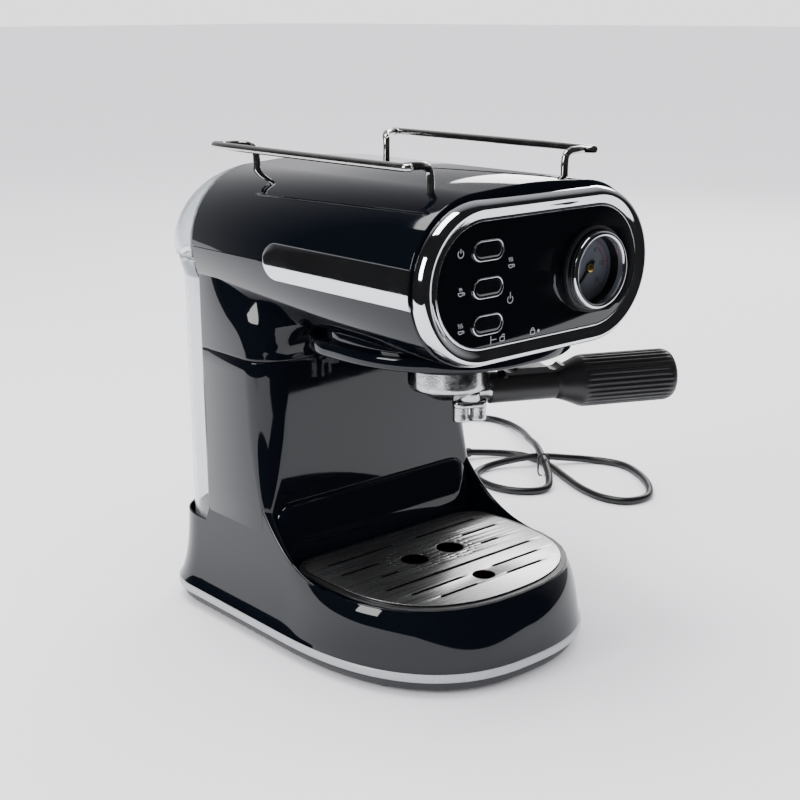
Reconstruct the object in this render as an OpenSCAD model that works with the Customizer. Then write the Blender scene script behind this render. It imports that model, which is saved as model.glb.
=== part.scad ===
/* [Head] */
// Width across the head
head_w = 206; // [200:1:210]
// Height of the head's section
head_h = 106; // [102:1:110]
// Height of the head's centre line above the table
head_z = 277; // [270:1:285]
// Depth from the fascia to the tank seam
head_d = 240; // [236:1:244]
// Wall thickness of the shells
wall = 2.6; // [2:0.2:3]
/* [Fascia] */
// Width of the chrome surround
bezel_w = 203.4; // [198:0.2:205]
// Height of the chrome surround
bezel_h = 102.6; // [99:0.2:104]
// Width of the surround's rim
bezel_rim = 12.6; // [11:0.2:14]
// Pitch of the three buttons
button_pitch = 22.7; // [21:0.1:25]
// Radius of the pressure gauge's chrome ring
gauge_r = 25.2; // [23:0.2:27]
/* [Base] */
// Width of the base
base_w = 214; // [210:1:220]
// Depth of the base
base_d = 300; // [296:1:304]
// Height of the drip deck
deck_z = 57; // [54:1:60]
// Half the width of the drip grille
grille_half = 88; // [84:1:90]
/* [Column] */
// Width of the column
column_w = 198; // [194:1:200]
// Front face of the column
column_y = 165; // [160:1:170]
// Height of the seam between the two housings
seam_z = 203; // [195:1:210]
/* [Brewing] */
// Distance of the brewing group behind the fascia
group_y = 86; // [84:1:90]
// Radius of the portafilter bowl
bowl_r = 27.3; // [26.8:0.1:27.6]
// Height of the handle's axis above the table
handle_z = 183.6; // [182:0.2:185]
// Reach of the handle from the group's axis
handle_reach = 167; // [155:1:175]
// Direction of the handle, from +X towards the front
handle_turn = 25; // [20:1:40]
/* [Tank] */
// Radius of the tank's rear corners
tank_corner = 42; // [36:1:46]
// Height of the tank's rim
tank_top = 265; // [255:1:266]
/* [Cord] */
// Diameter of the mains lead
cord_d = 7; // [6:0.2:8]

/* [Hidden] */
$fn = 48;
arc_fn = 48;
head_r = head_h / 2;
shell_front = 9;
crown = 3;
crown_half = 62;
crown_r = (crown_half * crown_half + crown * crown) / (2 * crown);
bezel_r = bezel_h / 2;
bezel_z = head_z - 1;
bezel_arc_x = bezel_w / 2 - bezel_r;
panel_r = bezel_r - bezel_rim - 0.2;
panel_t = 3;
button_x = -47.7;
button_top_z = bezel_z + 21.2;
button_w = 25.8;
button_h = 13;
gauge_x = 46.3;
gauge_z = bezel_z - 1.4;
dial_y = 3;
gauge_front = 9.4;
trim_z = [11, 17];
plate_z = 2.5;
skirt_steps = [[1, 23], [-0.5, 31], [-3, 40], [-5.5, 47], [-9, 53], [-13, deck_z]];
foot_spots = [[-74, 62], [74, 62], [-74, 240], [74, 240]];
grille_front = 16;
grille_rear = 150;
grille_z = 59.9;
tray_floor = 24;
float_y = 48.3;
spout_hole = [17.1, 101.2, 10];
bowl_bottom = 186.6;
bowl_top = 212.8;
neck_r = 11;
grip_r = 18.5;
grip_start = 92;
spout_at = 16;
spout_bottom = 161.6;
tank_y = head_d + 1;
tank_rear = 290;
tank_bottom = 60.3;
lid_z = 268;
hinge_y = 294.4;
valve_y = 264;
knob_y = 178;
wand_y = 196;
wand_z = 235;
wand_x = 108.5;
rail_z = 346;
rail_foot_x = 60;
rail_bar_x = 84;
rail_y = [38, 219];
rail_r = 2.6;
exit_x = 60;
exit_z = 34;
relief_end = base_d + 30.8;
cord_r = cord_d / 2;
frame_x = (handle_reach * cos(handle_turn) + 6 - base_w / 2 - 2) / 2;
frame_y = (base_d + 2 - gauge_front) / 2;
cord_route = [
    [60, 332, 34], [62, 352, 28], [72, 374, 12], [92, 396, 3.6], [130, 424, 3.5], [180, 450, 3.5], [235, 470, 3.5],
    [290, 483, 3.5], [342, 487, 3.5], [382, 478, 3.5], [405, 455, 3.6], [405, 425, 4.6], [388, 388, 8],
    [362, 352, 13], [338, 318, 17.6], [318, 290, 15], [300, 266, 9], [284, 253, 4.2], [268, 256, 3.5],
    [254, 272, 3.5], [250, 296, 3.5], [258, 322, 3.5], [279, 334, 3.8], [304, 328, 7], [330, 312, 10.6],
    [356, 299, 7], [380, 280, 3.8], [390, 252, 3.5], [380, 222, 3.5], [360, 194, 3.5], [336, 176, 3.5],
    [312, 180, 3.5], [303, 202, 3.5], [308, 232, 3.5], [320, 262, 3.5], [333, 292, 3.5], [340, 320, 3.5],
    [336, 345, 3.5], [319, 361, 5], [297.8, 371.5, 7.5]];
plug_at = [257, 388];
plug_dir = -22;
tie_at = [316, 288];

// ---- outlines ----

function bulge(v, n) = sign(v) * pow(abs(v), 2 / n);

// A plan outline: a squarish oval front, straight flanks and a rear with rounded corners.
function plan(half, front, mid, n, rear, corner) = concat(
    [for (a = [180:10:360]) [half * bulge(cos(a), n), mid + (mid - front) * bulge(sin(a), n)]],
    [for (a = [0:22.5:90]) [half - corner + corner * cos(a), rear - corner + corner * sin(a)]],
    [for (a = [90:22.5:180]) [corner - half + corner * cos(a), rear - corner + corner * sin(a)]]);

function base_plan(grow) = plan(base_w / 2 + grow, -grow, 145, 2.5, base_d + grow, 45 + grow);
function skirt_plan(grow) =
    plan(base_w / 2 + grow, -grow, 145 + 2.7 * min(grow, 0), 2.5, base_d + grow, 45 + grow);
function grille_plan(grow) =
    plan(grille_half + grow, grille_front - grow, 100, 2.4, grille_rear + grow, 20 + grow);

module base_slab(grow, z0, z1) {
    translate([0, 0, z0]) linear_extrude(z1 - z0) polygon(base_plan(grow));
}

module skirt_slab(grow, z0, z1) {
    translate([0, 0, z0]) linear_extrude(z1 - z0) polygon(skirt_plan(grow));
}

module grille_slab(grow, z0, z1) {
    translate([0, 0, z0]) linear_extrude(z1 - z0) polygon(grille_plan(grow));
}

module stadium(w, h) {
    square([w - h, h], center = true);
    for (s = [-1, 1]) translate([s * (w - h) / 2, 0]) circle(d = h, $fn = 2 * arc_fn);
}

// Stands a flat outline up on edge and runs it from one depth to another.
module run_back(y0, y1) {
    translate([0, y1, 0]) rotate([90, 0, 0]) linear_extrude(y1 - y0) children();
}

// Carries a profile, drawn as radius against height, round a stadium outline.
module stadium_sweep(arc_x) {
    for (s = [0, 1]) rotate(180 * s) translate([arc_x, 0, 0])
        rotate(-90) rotate_extrude(angle = 180, $fn = 2 * arc_fn) children();
    for (s = [0, 1]) rotate(180 * s) translate([-arc_x, 0, 0])
        rotate([90, 0, 90]) linear_extrude(2 * arc_x) children();
}

module head_section(inset) {
    translate([0, head_z]) stadium(head_w - 2 * inset, head_h - 2 * inset);
}

module crown_section(inset) {
    intersection() {
        translate([0, head_z + head_r + crown - crown_r]) circle(r = crown_r - inset, $fn = 400);
        translate([-crown_half + 2 * inset, head_z + 20]) square([2 * crown_half - 4 * inset, head_r]);
    }
}

module column_outline(inset, rear) {
    corner = 22;
    w = column_w / 2 - inset;
    front = column_y + inset;
    translate([-w, front + corner]) square([2 * w, rear - front - corner]);
    translate([-w + corner, front]) square([2 * w - 2 * corner, corner + 1]);
    for (s = [-1, 1]) translate([s * (w - corner), front + corner]) circle(r = corner);
}

module group_space() {
    translate([0, group_y, 200]) cylinder(r = 37.3, h = 30);
}

function unit(v) = v / norm(v);

function catmull(p0, p1, p2, p3, t) = 0.5 * (2 * p1 + (p2 - p0) * t + (2 * p0 - 5 * p1 + 4 * p2 - p3) * t * t
    + (3 * p1 - p0 - 3 * p2 + p3) * t * t * t);

// The points of a smooth path through a route, with so many parts to each of its spans.
function smooth_path(route, parts) = let (last = len(route) - 1) concat(
    [for (i = [0:last - 1]) for (t = [0:parts - 1])
        catmull(route[max(i - 1, 0)], route[i], route[i + 1], route[min(i + 2, last)], t / parts)],
    [route[last]]);

// A ring of points about every point of a path.
function tube_rings(path, r, sides) = let (last = len(path) - 1) [for (i = [0:last])
    let (run = unit(path[min(i + 1, last)] - path[max(i - 1, 0)]),
        across = unit(cross(run, abs(run[2]) > 0.9 ? [0, 1, 0] : [0, 0, 1])), up = cross(across, run))
    [for (k = [0:sides - 1]) let (a = (k + 0.5) * 360 / sides)
        path[i] + r * (cos(a) * across + sin(a) * up)]];

// Joins equal rings of points, in order, into one closed tube.
module swept(rings) {
    sides = len(rings[0]);
    last = len(rings) - 1;
    polyhedron([for (ring = rings) each ring], concat(
        [[for (k = [0:sides - 1]) k]],
        [for (i = [0:last - 1]) for (k = [0:sides - 1]) let (a = i * sides + k, b = i * sides + (k + 1) % sides)
            each [[a, b + sides, b], [a, a + sides, b + sides]]],
        [[for (k = [sides - 1:-1:0]) last * sides + k]]));
}

// A rod or hose of round section along a smooth path through a list of points.
module tube_path(points, r, parts, sides) {
    swept(tube_rings(smooth_path(points, parts), r, sides));
}

// ---- base ----

module base_plate() color([0.16, 0.16, 0.17]) difference() {
    base_slab(-4, plate_z, trim_z[0]);
    base_slab(-1, plate_z + 3, trim_z[0]);
    base_slab(-8, plate_z + 3, trim_z[0] + 1);
    for (p = foot_spots) {
        translate([p[0], p[1], plate_z - 1]) cylinder(r = 11.2, h = 2.5);
        translate([p[0], p[1], plate_z - 1]) cylinder(r = 2, h = 6);
    }
}

module base_trim() color([0.86, 0.87, 0.88]) difference() {
    base_slab(2, trim_z[0], trim_z[1]);
    base_slab(-3, trim_z[0] - 1, trim_z[1] + 1);
}

module rubber_feet() color([0.06, 0.06, 0.06]) for (p = foot_spots) translate([p[0], p[1], 0]) difference() {
    cylinder(r = 11, h = plate_z + 1.5);
    translate([0, 0, -1]) cylinder(r = 4, h = 4.4);
    cylinder(r = 1.9, h = 10);
}

module base_screws() color([0.6, 0.6, 0.62]) for (p = foot_spots) translate([p[0], p[1], 1.5]) {
    cylinder(r = 3.4, h = 1.8);
    cylinder(r = 1.6, h = 12);
}

module column_solid(inset, z0, z1) {
    translate([0, 0, z0]) linear_extrude(z1 - z0) column_outline(inset, head_d - inset);
}

module lower_housing() color([0.03, 0.03, 0.04]) difference() {
    union() {
        for (step = skirt_steps) skirt_slab(step[0], trim_z[1], step[1]);
        column_solid(0, deck_z - 10, seam_z);
        translate([-75, 0, 0]) rotate([90, 0, 90]) linear_extrude(150)
            polygon([[grille_rear + 4.6, deck_z - 1], [column_y + 5, deck_z - 1], [column_y + 5, 100],
                [column_y - 2, 97]]);
    }
    skirt_slab(-6, trim_z[1] - 1, 40);
    skirt_slab(-15.6, trim_z[1] - 1, deck_z - 3);
    column_solid(wall, deck_z - 6, seam_z + 1);
    grille_slab(1, deck_z - 12, deck_z + 2);
    translate([0, valve_y, deck_z - 10]) cylinder(r = 6, h = 20);
    translate([exit_x, base_d - 20, exit_z]) rotate([-90, 0, 0]) cylinder(r = 6, h = 30);
}

// ---- head ----

module upper_housing() color([0.03, 0.03, 0.04]) difference() {
    union() {
        intersection() {
            run_back(shell_front, head_d) head_section(0);
            translate([-150, 0, head_z - 80]) cube([300, 300, 80]);
        }
        column_solid(0, seam_z, head_z);
    }
    difference() {
        run_back(shell_front - 1, head_d - wall) head_section(wall);
        translate([-150, 0, head_z]) cube([300, 300, 80]);
    }
    translate([0, 0, head_z - 2]) linear_extrude(10) column_outline(wall, head_d - wall);
    column_solid(wall, seam_z - 1, head_z + 5);
    group_space();
    translate([80, wand_y, wand_z]) rotate([0, 90, 0]) cylinder(r = 4.3, h = 40);
    translate([-48, 150, 210]) cylinder(r = 3.6, h = 30);
    translate([80, knob_y, head_z]) rotate([0, 90, 0]) cylinder(r = 3.3, h = 40);
}

module top_cover() color([0.03, 0.03, 0.04]) difference() {
    intersection() {
        run_back(shell_front, head_d) {
            head_section(0);
            crown_section(0);
        }
        translate([-150, 0, head_z]) cube([300, 300, 80]);
    }
    run_back(shell_front - 1, head_d - wall) {
        head_section(wall);
        crown_section(wall);
    }
    translate([80, knob_y, head_z]) rotate([0, 90, 0]) cylinder(r = 3.3, h = 40);
    for (s = [-1, 1]) for (y = rail_y) translate([s * rail_foot_x, y, head_z])
        cylinder(r = rail_r + 0.1, h = 80);
}

module bezel_profile() {
    polygon([[bezel_r - bezel_rim, -7], [bezel_r, -9], [bezel_r, -5], [bezel_r - 1.2, -2], [bezel_r - 3, 0.6],
        [bezel_r - 5, 1.9], [bezel_r - 7, 2], [bezel_r - 9, 1.2], [bezel_r - bezel_rim, 0]]);
}

module front_bezel() color([0.82, 0.83, 0.85]) translate([0, 0, bezel_z]) rotate([90, 0, 0])
    stadium_sweep(bezel_arc_x) bezel_profile();

module button_spots() {
    for (i = [0:2]) translate([button_x, button_top_z - i * button_pitch]) children();
}

module control_panel() color([0.02, 0.02, 0.02]) run_back(0, panel_t) difference() {
    translate([0, bezel_z]) stadium(2 * (bezel_arc_x + panel_r), 2 * panel_r);
    button_spots() stadium(button_w - 2, button_h - 2);
    translate([gauge_x, gauge_z]) circle(r = gauge_r + 1);
}

module button_frames() color([0.82, 0.83, 0.85]) run_back(-1.2, 0) button_spots() difference() {
    stadium(button_w, button_h);
    stadium(button_w - 3, button_h - 3);
}

module push_button(index) color([0.03, 0.03, 0.03])
    translate([button_x, 0, button_top_z - index * button_pitch]) {
        run_back(-2, 5) stadium(button_w - 3.8, button_h - 3.8);
        run_back(5, 6) stadium(button_w - 4.2, button_h + 2);
    }

module button_power() push_button(0);
module button_brew() push_button(1);
module button_steam() push_button(2);

module strip(side) color([0.85, 0.86, 0.88]) intersection() {
    run_back(shell_front + 0.2, 154) difference() {
        translate([0, head_z]) stadium(head_w + 2, head_h + 2);
        translate([0, head_z]) stadium(head_w, head_h);
    }
    translate([side * 85, 0, bezel_z + 1]) rotate([0, side * 90, 0]) {
        translate([-12.6, 0, 0]) cube([25.2, 141, 40]);
        translate([0, 141, 0]) cylinder(r = 12.6, h = 40);
    }
}

module strip_left() strip(-1);
module strip_right() strip(1);

module head_underplate() color([0.03, 0.03, 0.04]) difference() {
    union() {
        translate([0, 0, 217]) linear_extrude(8) underplate_outline(0);
        translate([0, 0, 225]) linear_extrude(7) underplate_outline(5);
    }
    translate([0, 0, 219.5]) linear_extrude(20) underplate_outline(7);
    group_space();
    translate([-48, 150, 210]) cylinder(r = 3.6, h = 30);
    run_back(shell_front - 4, column_y) head_section(-0.02);
}

module underplate_outline(inset) {
    intersection() {
        polygon(plan(86 - inset, 6 + inset, 100, 2.3, 158 - inset, 40 - inset));
        translate([-100, 0]) square([200, column_y - 0.5]);
    }
}

// One cup rail: two legs, a bar that stands outside them and the bends between.
module cup_rail(side) color([0.78, 0.79, 0.8]) {
    foot = side * rail_foot_x;
    bar = side * rail_bar_x;
    bend = side * 10;
    tube_path([[foot, rail_y[0], 318], [foot, rail_y[0], rail_z - 6], [foot + bend * 0.4, rail_y[0], rail_z - 1],
        [foot + bend, rail_y[0] - 1, rail_z], [bar - bend * 0.6, rail_y[0] + 1, rail_z],
        [bar, rail_y[0] + 10, rail_z], [bar, rail_y[1] + 2, rail_z], [bar - bend * 0.6, rail_y[1] + 10, rail_z],
        [foot + bend, rail_y[1] + 9, rail_z], [foot + bend * 0.3, rail_y[1] + 4, rail_z - 1],
        [foot, rail_y[1], rail_z - 6], [foot, rail_y[1], 318]], rail_r, 3, 12);
}

module cup_rail_left() cup_rail(-1);
module cup_rail_right() cup_rail(1);

module rail_nuts() color([0.7, 0.7, 0.72]) for (s = [-1, 1]) for (y = rail_y)
    translate([s * rail_foot_x, y, 320]) difference() {
        cylinder(r = 4.6, h = 4, $fn = 6);
        translate([0, 0, -1]) cylinder(r = rail_r + 0.25, h = 8);
    }

// ---- pressure gauge ----

module gauge_place() {
    translate([gauge_x, 0, gauge_z]) rotate([90, 0, 0]) children();
}

module gauge_case() color([0.03, 0.03, 0.03]) gauge_place() difference() {
    union() {
        translate([0, 0, -26]) cylinder(r = gauge_r - 1, h = 30);
        translate([0, 0, 0.02]) cylinder(r = gauge_r + 3, h = 3.6);
        translate([0, 0, -38]) cylinder(r = 5, h = 13);
    }
    translate([0, 0, -dial_y - 1]) cylinder(r = gauge_r - 3.4, h = 20);
    translate([0, 0, -12]) cylinder(r = 0.85, h = 12);
}

module gauge_bezel() color([0.82, 0.83, 0.85]) gauge_place() rotate_extrude($fn = 96)
    polygon([[gauge_r - 3.6, 4.1], [gauge_r, 4.1], [gauge_r + 0.3, 6.5], [gauge_r - 0.4, 8.6],
        [gauge_r - 1.8, gauge_front], [gauge_r - 3.2, 8.8], [gauge_r - 3.6, 7.4]]);

module gauge_glass() color([0.8, 0.85, 0.9, 0.3]) gauge_place() translate([0, 0, 4.6])
    cylinder(r = gauge_r - 3.7, h = 1.4);

module gauge_dial() color([0.35, 0.37, 0.42]) gauge_place() translate([0, 0, -dial_y - 0.9]) difference() {
    cylinder(r = gauge_r - 3.6, h = 0.9);
    translate([0, 0, -1]) cylinder(r = 1.4, h = 4);
}

module gauge_needle() color([0.02, 0.02, 0.02]) gauge_place() {
    translate([0, 0, -dial_y + 0.6]) linear_extrude(0.7) rotate(-135)
        polygon([[-6, -1.1], [-6, 1.1], [0, 1.1], [18, 0.3], [18, -0.3], [0, -1.1]]);
    translate([0, 0, -dial_y + 0.4]) cylinder(r = 2.6, h = 1.8);
    translate([0, 0, -10]) cylinder(r = 0.8, h = 8);
}

// ---- works inside the housing ----

module control_board() color([0.1, 0.35, 0.2]) {
    translate([-82, 12, 242]) cube([70, 1.6, 66]);
    for (i = [0:2]) translate([button_x - 6, 8.8, button_top_z - i * button_pitch - 6]) cube([12, 3.2, 12]);
}

module boiler() color([0.7, 0.7, 0.72]) translate([0, group_y, 0]) difference() {
    union() {
        translate([0, 0, 232]) cylinder(r = 42, h = 4);
        translate([0, 0, 236]) cylinder(r = 36, h = 38);
        translate([0, 0, 274]) cylinder(r = 42, h = 4);
        translate([0, 30, 255]) rotate([-90, 0, 0]) cylinder(r = 5, h = 16);
    }
    translate([0, 0, 240]) cylinder(r = 30, h = 32);
}

module thermostats() color([0.75, 0.72, 0.6]) for (a = [60, 120]) translate([0, group_y, 278])
    rotate(a) translate([24, 0, 0]) {
        cylinder(r = 8, h = 5);
        cylinder(r = 5.5, h = 9);
    }

module group_head() color([0.12, 0.12, 0.13]) translate([0, group_y, 0]) difference() {
    translate([0, 0, 204]) cylinder(r = 36, h = 28, $fn = 96);
    translate([0, 0, 208]) cylinder(r = 32.6, h = 7);
    translate([0, 0, 203]) cylinder(r = 29.4, h = 16.2);
    for (a = [0, 180]) rotate(a - handle_turn - 92) translate([24, -9, 203]) cube([8.4, 18, 8]);
    translate([0, 0, 218]) cylinder(r = 3, h = 20);
}

module group_gasket() color([0.05, 0.05, 0.05]) translate([0, group_y, 214.3]) difference() {
    cylinder(r = 29, h = 4.9);
    translate([0, 0, -1]) cylinder(r = 23.4, h = 8);
}

module shower_screen() color([0.75, 0.76, 0.78]) translate([0, group_y, 0]) {
    difference() {
        translate([0, 0, 214.6]) cylinder(r = 22.6, h = 1.2);
        for (ring = [[7, 8], [13, 14], [18.5, 20]]) for (i = [0:ring[1] - 1])
            rotate(i * 360 / ring[1]) translate([ring[0], 0, 214]) cylinder(r = 0.8, h = 3, $fn = 16);
    }
    translate([0, 0, 215.8]) cylinder(r = 6, h = 3.4);
    translate([0, 0, 213]) cylinder(r = 4, h = 1.6);
}

module pump() color([0.55, 0.56, 0.58]) translate([-42, 204, 0]) {
    translate([0, 0, 70]) cylinder(r = 21, h = 52);
    translate([-24, -24, 84]) cube([48, 48, 24]);
    translate([0, 0, 52]) cylinder(r = 9, h = 86);
    translate([0, 0, 40]) cylinder(r = 4, h = 108);
}

module pump_mounts() color([0.05, 0.05, 0.05]) for (z = [58, 126]) translate([-42, 204, z]) difference() {
    union() {
        cylinder(r = 15, h = 7);
        translate([-5, 12, 0]) cube([10, head_d - wall - 216, 7]);
    }
    translate([0, 0, -1]) cylinder(r = 9, h = 9);
}

module hose_suction() color([0.85, 0.85, 0.86])
    tube_path([[0, valve_y, 43.4], [0, valve_y, 36], [-4, valve_y - 12, 31], [-34, 218, 31], [-41, 207, 33],
        [-42, 204, 39.2]], 3, 3, 10);

module hose_pressure() color([0.85, 0.85, 0.86])
    tube_path([[-42, 204, 148], [-42, 204, 168], [-40, 200, 190], [-20, 185, 225], [0, 165, 252],
        [0, 150, 255], [0, group_y + 46, 255]], 3, 3, 10);

module steam_valve() color([0.75, 0.6, 0.3]) difference() {
    union() {
        translate([62, knob_y - 10, head_z - 10]) cube([24, 20, 20]);
        translate([72, knob_y, wand_z]) cylinder(r = 5, h = 34);
        translate([72, knob_y, wand_z]) rotate([0, 90, 0]) cylinder(r = 5, h = 6);
        translate([64, wand_y, wand_z]) rotate([0, 90, 0]) cylinder(r = 7, h = 26);
        translate([66, knob_y - 4, wand_z - 5]) cube([12, 16, 10]);
    }
    translate([70, knob_y, head_z]) rotate([0, 90, 0]) cylinder(r = 3.06, h = 40);
    translate([70, wand_y, wand_z]) rotate([0, 90, 0]) cylinder(r = 4.06, h = 40);
}

module hose_steam() color([0.85, 0.85, 0.86])
    tube_path([[32, group_y + 26, 255], [40, 130, 262], [46, 160, 272], [54, knob_y, head_z],
        [61, knob_y, head_z]], 3, 3, 10);

module steam_knob() color([0.05, 0.05, 0.05]) translate([0, knob_y, head_z]) rotate([0, 90, 0]) {
    translate([0, 0, 72]) cylinder(r = 3, h = 34);
    translate([0, 0, 104.6]) cylinder(r = 15, h = 3, $fn = 96);
    difference() {
        translate([0, 0, 107.6]) cylinder(r = 17, h = 17, $fn = 96);
        for (i = [0:17]) rotate(i * 20) translate([18.4, 0, 106]) cylinder(r = 2.4, h = 20, $fn = 20);
    }
}

module steam_wand() color([0.78, 0.79, 0.8]) {
    translate([72, wand_y, wand_z]) rotate([0, 90, 0]) cylinder(r = 4, h = wand_x - 72 - 8);
    translate([wand_x - 8, wand_y, wand_z - 8]) rotate([90, 0, 0])
        rotate_extrude(angle = 90) translate([8, 0]) circle(r = 4, $fn = 32);
    translate([wand_x, wand_y, 118]) cylinder(r = 4, h = wand_z - 8 - 118);
}

module wand_sleeve() color([0.05, 0.05, 0.05]) translate([wand_x, wand_y, 0]) difference() {
    union() {
        translate([0, 0, 128]) cylinder(r = 6.6, h = 54);
        translate([0, 0, 112]) cylinder(r1 = 4.4, r2 = 6.6, h = 16);
    }
    translate([0, 0, 118]) cylinder(r = 4, h = 90);
    translate([0, 0, 110]) cylinder(r = 1, h = 10);
}

module drain_tube() color([0.05, 0.05, 0.05]) translate([-48, 150, 200]) difference() {
    cylinder(r = 3.4, h = 38);
    translate([0, 0, -1]) cylinder(r = 2, h = 60);
}

// ---- drip tray ----

module drip_tray() color([0.06, 0.06, 0.07]) {
    difference() {
        union() {
            grille_slab(-1.5, tray_floor, deck_z - 1);
            grille_slab(4, deck_z + 0.3, deck_z + 1.8);
            grille_slab(0.4, deck_z - 6, deck_z + 1);
        }
        grille_slab(-4.5, tray_floor + 2.5, deck_z + 5);
        grille_slab(0.2, deck_z + 0.4, deck_z + 9);
    }
    translate([0, float_y, tray_floor + 2]) difference() {
        cylinder(r = 7.4, h = 16);
        translate([0, 0, 1]) cylinder(r = 6.2, h = 20);
    }
}

module slot(y, x0, x1) {
    for (s = [-1, 1]) translate([s * (x0 + x1) / 2, y]) stadium(x1 - x0, 3);
}

module drip_grille() color([0.62, 0.63, 0.65]) {
    difference() {
        grille_slab(-0.3, grille_z - 1.6, grille_z);
        translate([0, 0, grille_z - 5]) linear_extrude(10) {
            slot(132.1, 10, 71.8);
            slot(112, 39.6, 75.1);
            slot(91.6, 39.3, 62);
            slot(71.7, -69.6, 69.6);
            slot(55.2, 14.9, 61);
            slot(39.9, 14.1, 48.3);
            translate([0, float_y]) circle(r = 8.1);
            for (s = [-1, 1]) translate([s * spout_hole[0], spout_hole[1]]) circle(r = spout_hole[2]);
        }
    }
    difference() {
        grille_slab(-6, grille_z - 3.4, grille_z - 1.6);
        grille_slab(-7.6, grille_z - 4, grille_z);
    }
}

module tray_float() color([0.85, 0.06, 0.05]) translate([0, float_y, tray_floor + 3.3]) {
    cylinder(r = 5.8, h = 24);
    translate([0, 0, 24]) cylinder(r1 = 5.8, r2 = 4, h = 2.5);
}

// ---- tank ----

module tank_outline(inset) {
    w = 97 - inset;
    rear = tank_rear - inset;
    c = tank_corner - inset;
    translate([-w, tank_y + inset]) square([2 * w, rear - c - tank_y - inset]);
    translate([-w + c, tank_y + inset]) square([2 * w - 2 * c, rear - tank_y - inset]);
    for (s = [-1, 1]) translate([s * (w - c), rear - c]) intersection() {
        circle(r = c, $fn = 96);
        translate([s > 0 ? -1 : -c - 1, 0]) square([c + 2, c + 1]);
    }
}

module tank_slab(inset, z0, z1) {
    translate([0, 0, z0]) linear_extrude(z1 - z0) tank_outline(inset);
}

module hinge_barrel(x0, x1, r) {
    translate([x0, hinge_y, lid_z]) rotate([0, 90, 0]) cylinder(r = r, h = x1 - x0);
}

module water_tank() color([0.8, 0.85, 0.9, 0.4]) difference() {
    union() {
        difference() {
            tank_slab(0, tank_bottom, tank_top);
            tank_slab(2.4, tank_bottom + 3, tank_top + 1);
        }
        translate([0, valve_y, tank_bottom]) {
            cylinder(r = 10, h = 8);
            translate([-9.5, -2.5, 25.7]) cube([19, 5, 2.2]);
            for (s = [-1, 1]) translate([s * 8.2 - 1.3, -2.5, 6]) cube([2.6, 5, 20]);
        }
        for (s = [-1, 1]) translate([s * 38, 0, 0]) {
            hinge_barrel(-8, 8, 3.2);
            translate([-8, tank_rear - 1, tank_top - 12]) cube([16, 3.4, 14]);
            translate([-8, tank_rear - 1, tank_top - 2]) cube([16, 5, 3]);
        }
    }
    translate([0, valve_y, tank_bottom - 1]) cylinder(r = 3.4, h = 20);
    hinge_barrel(-60, 60, 2.06);
}

module tank_lid() color([0.8, 0.85, 0.9, 0.4]) {
    difference() {
        lid_body(0);
        lid_body(wall);
        scoop_place() cylinder(r = 15, h = 18);
        for (s = [-1, 1]) translate([s * 38 - 8.6, hinge_y - 6, lid_z - 1]) cube([17.2, 12, 5]);
    }
    difference() {
        intersection() {
            scoop_place() translate([0, 0, -2]) cylinder(r = 16.6, h = 22);
            translate([-20, head_d, head_z + head_r - 8]) cube([40, 30, 9.8]);
        }
        scoop_place() cylinder(r = 15, h = 18);
    }
    hinge_barrel(-52, 52, 2);
    for (x = [-52, -27, 22, 47]) {
        hinge_barrel(x, x + 5, 3.2);
        translate([x, hinge_y - 6, lid_z - 0.6]) cube([5, 6, 2.8]);
    }
}

// Where the round finger dip lies along the lid's front edge.
module scoop_place() {
    translate([0, head_d + 21, head_z + head_r + crown + 10]) rotate([90, 0, 0]) children();
}

module lid_body(inset) {
    below = inset > 0 ? 1 : 0;
    intersection() {
        run_back(head_d + 0.6 + inset, hinge_y - 2.6 - inset) {
            head_section(inset);
            crown_section(inset);
        }
        translate([-150, 0, lid_z - below]) cube([300, 400, 100]);
        translate([-150, 231, lid_z]) rotate([0, 90, 0]) cylinder(r = 66 - inset, h = 300, $fn = 96);
    }
}

module tank_dock() color([0.05, 0.05, 0.06]) translate([0, valve_y, 0]) difference() {
    union() {
        translate([-70, -9, deck_z]) cube([140, 18, 1.2]);
        for (s = [-1, 1]) translate([s * 60 - 8, -8, deck_z]) cube([16, 16, tank_bottom - deck_z]);
        translate([0, 0, deck_z]) cylinder(r = 9, h = tank_bottom - deck_z);
        translate([0, 0, 44]) cylinder(r = 5.6, h = 15);
    }
    translate([0, 0, 40]) cylinder(r = 2, h = 30);
}

module tank_valve() color([0.9, 0.9, 0.9]) translate([0, valve_y, 0]) {
    translate([0, 0, tank_bottom + 0.3]) cylinder(r = 3.3, h = 20);
    translate([0, 0, tank_bottom + 8.3]) cylinder(r = 6, h = 2.4);
}

// The valve's closing spring, a wire helix between the valve's collar and the tank's bridge.
module valve_spring() color([0.75, 0.76, 0.78]) translate([0, valve_y, tank_bottom + 10.6]) {
    turns = 5;
    steps = 12;
    rings = [for (i = [0:turns * steps]) let (a = i * 360 / steps)
        [for (k = [0:5]) let (b = k * 60) [(4.6 + 0.45 * cos(b)) * cos(a), (4.6 + 0.45 * cos(b)) * sin(a),
            0.6 + 14 * i / (turns * steps) + 0.45 * sin(b)]]];
    swept(rings);
}

// ---- portafilter ----

module along_handle() {
    translate([0, group_y, 0]) rotate(-handle_turn) children();
}

module handle_run(x0, x1, r) {
    translate([x0, 0, handle_z]) rotate([0, 90, 0]) cylinder(r = r, h = x1 - x0);
}

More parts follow.
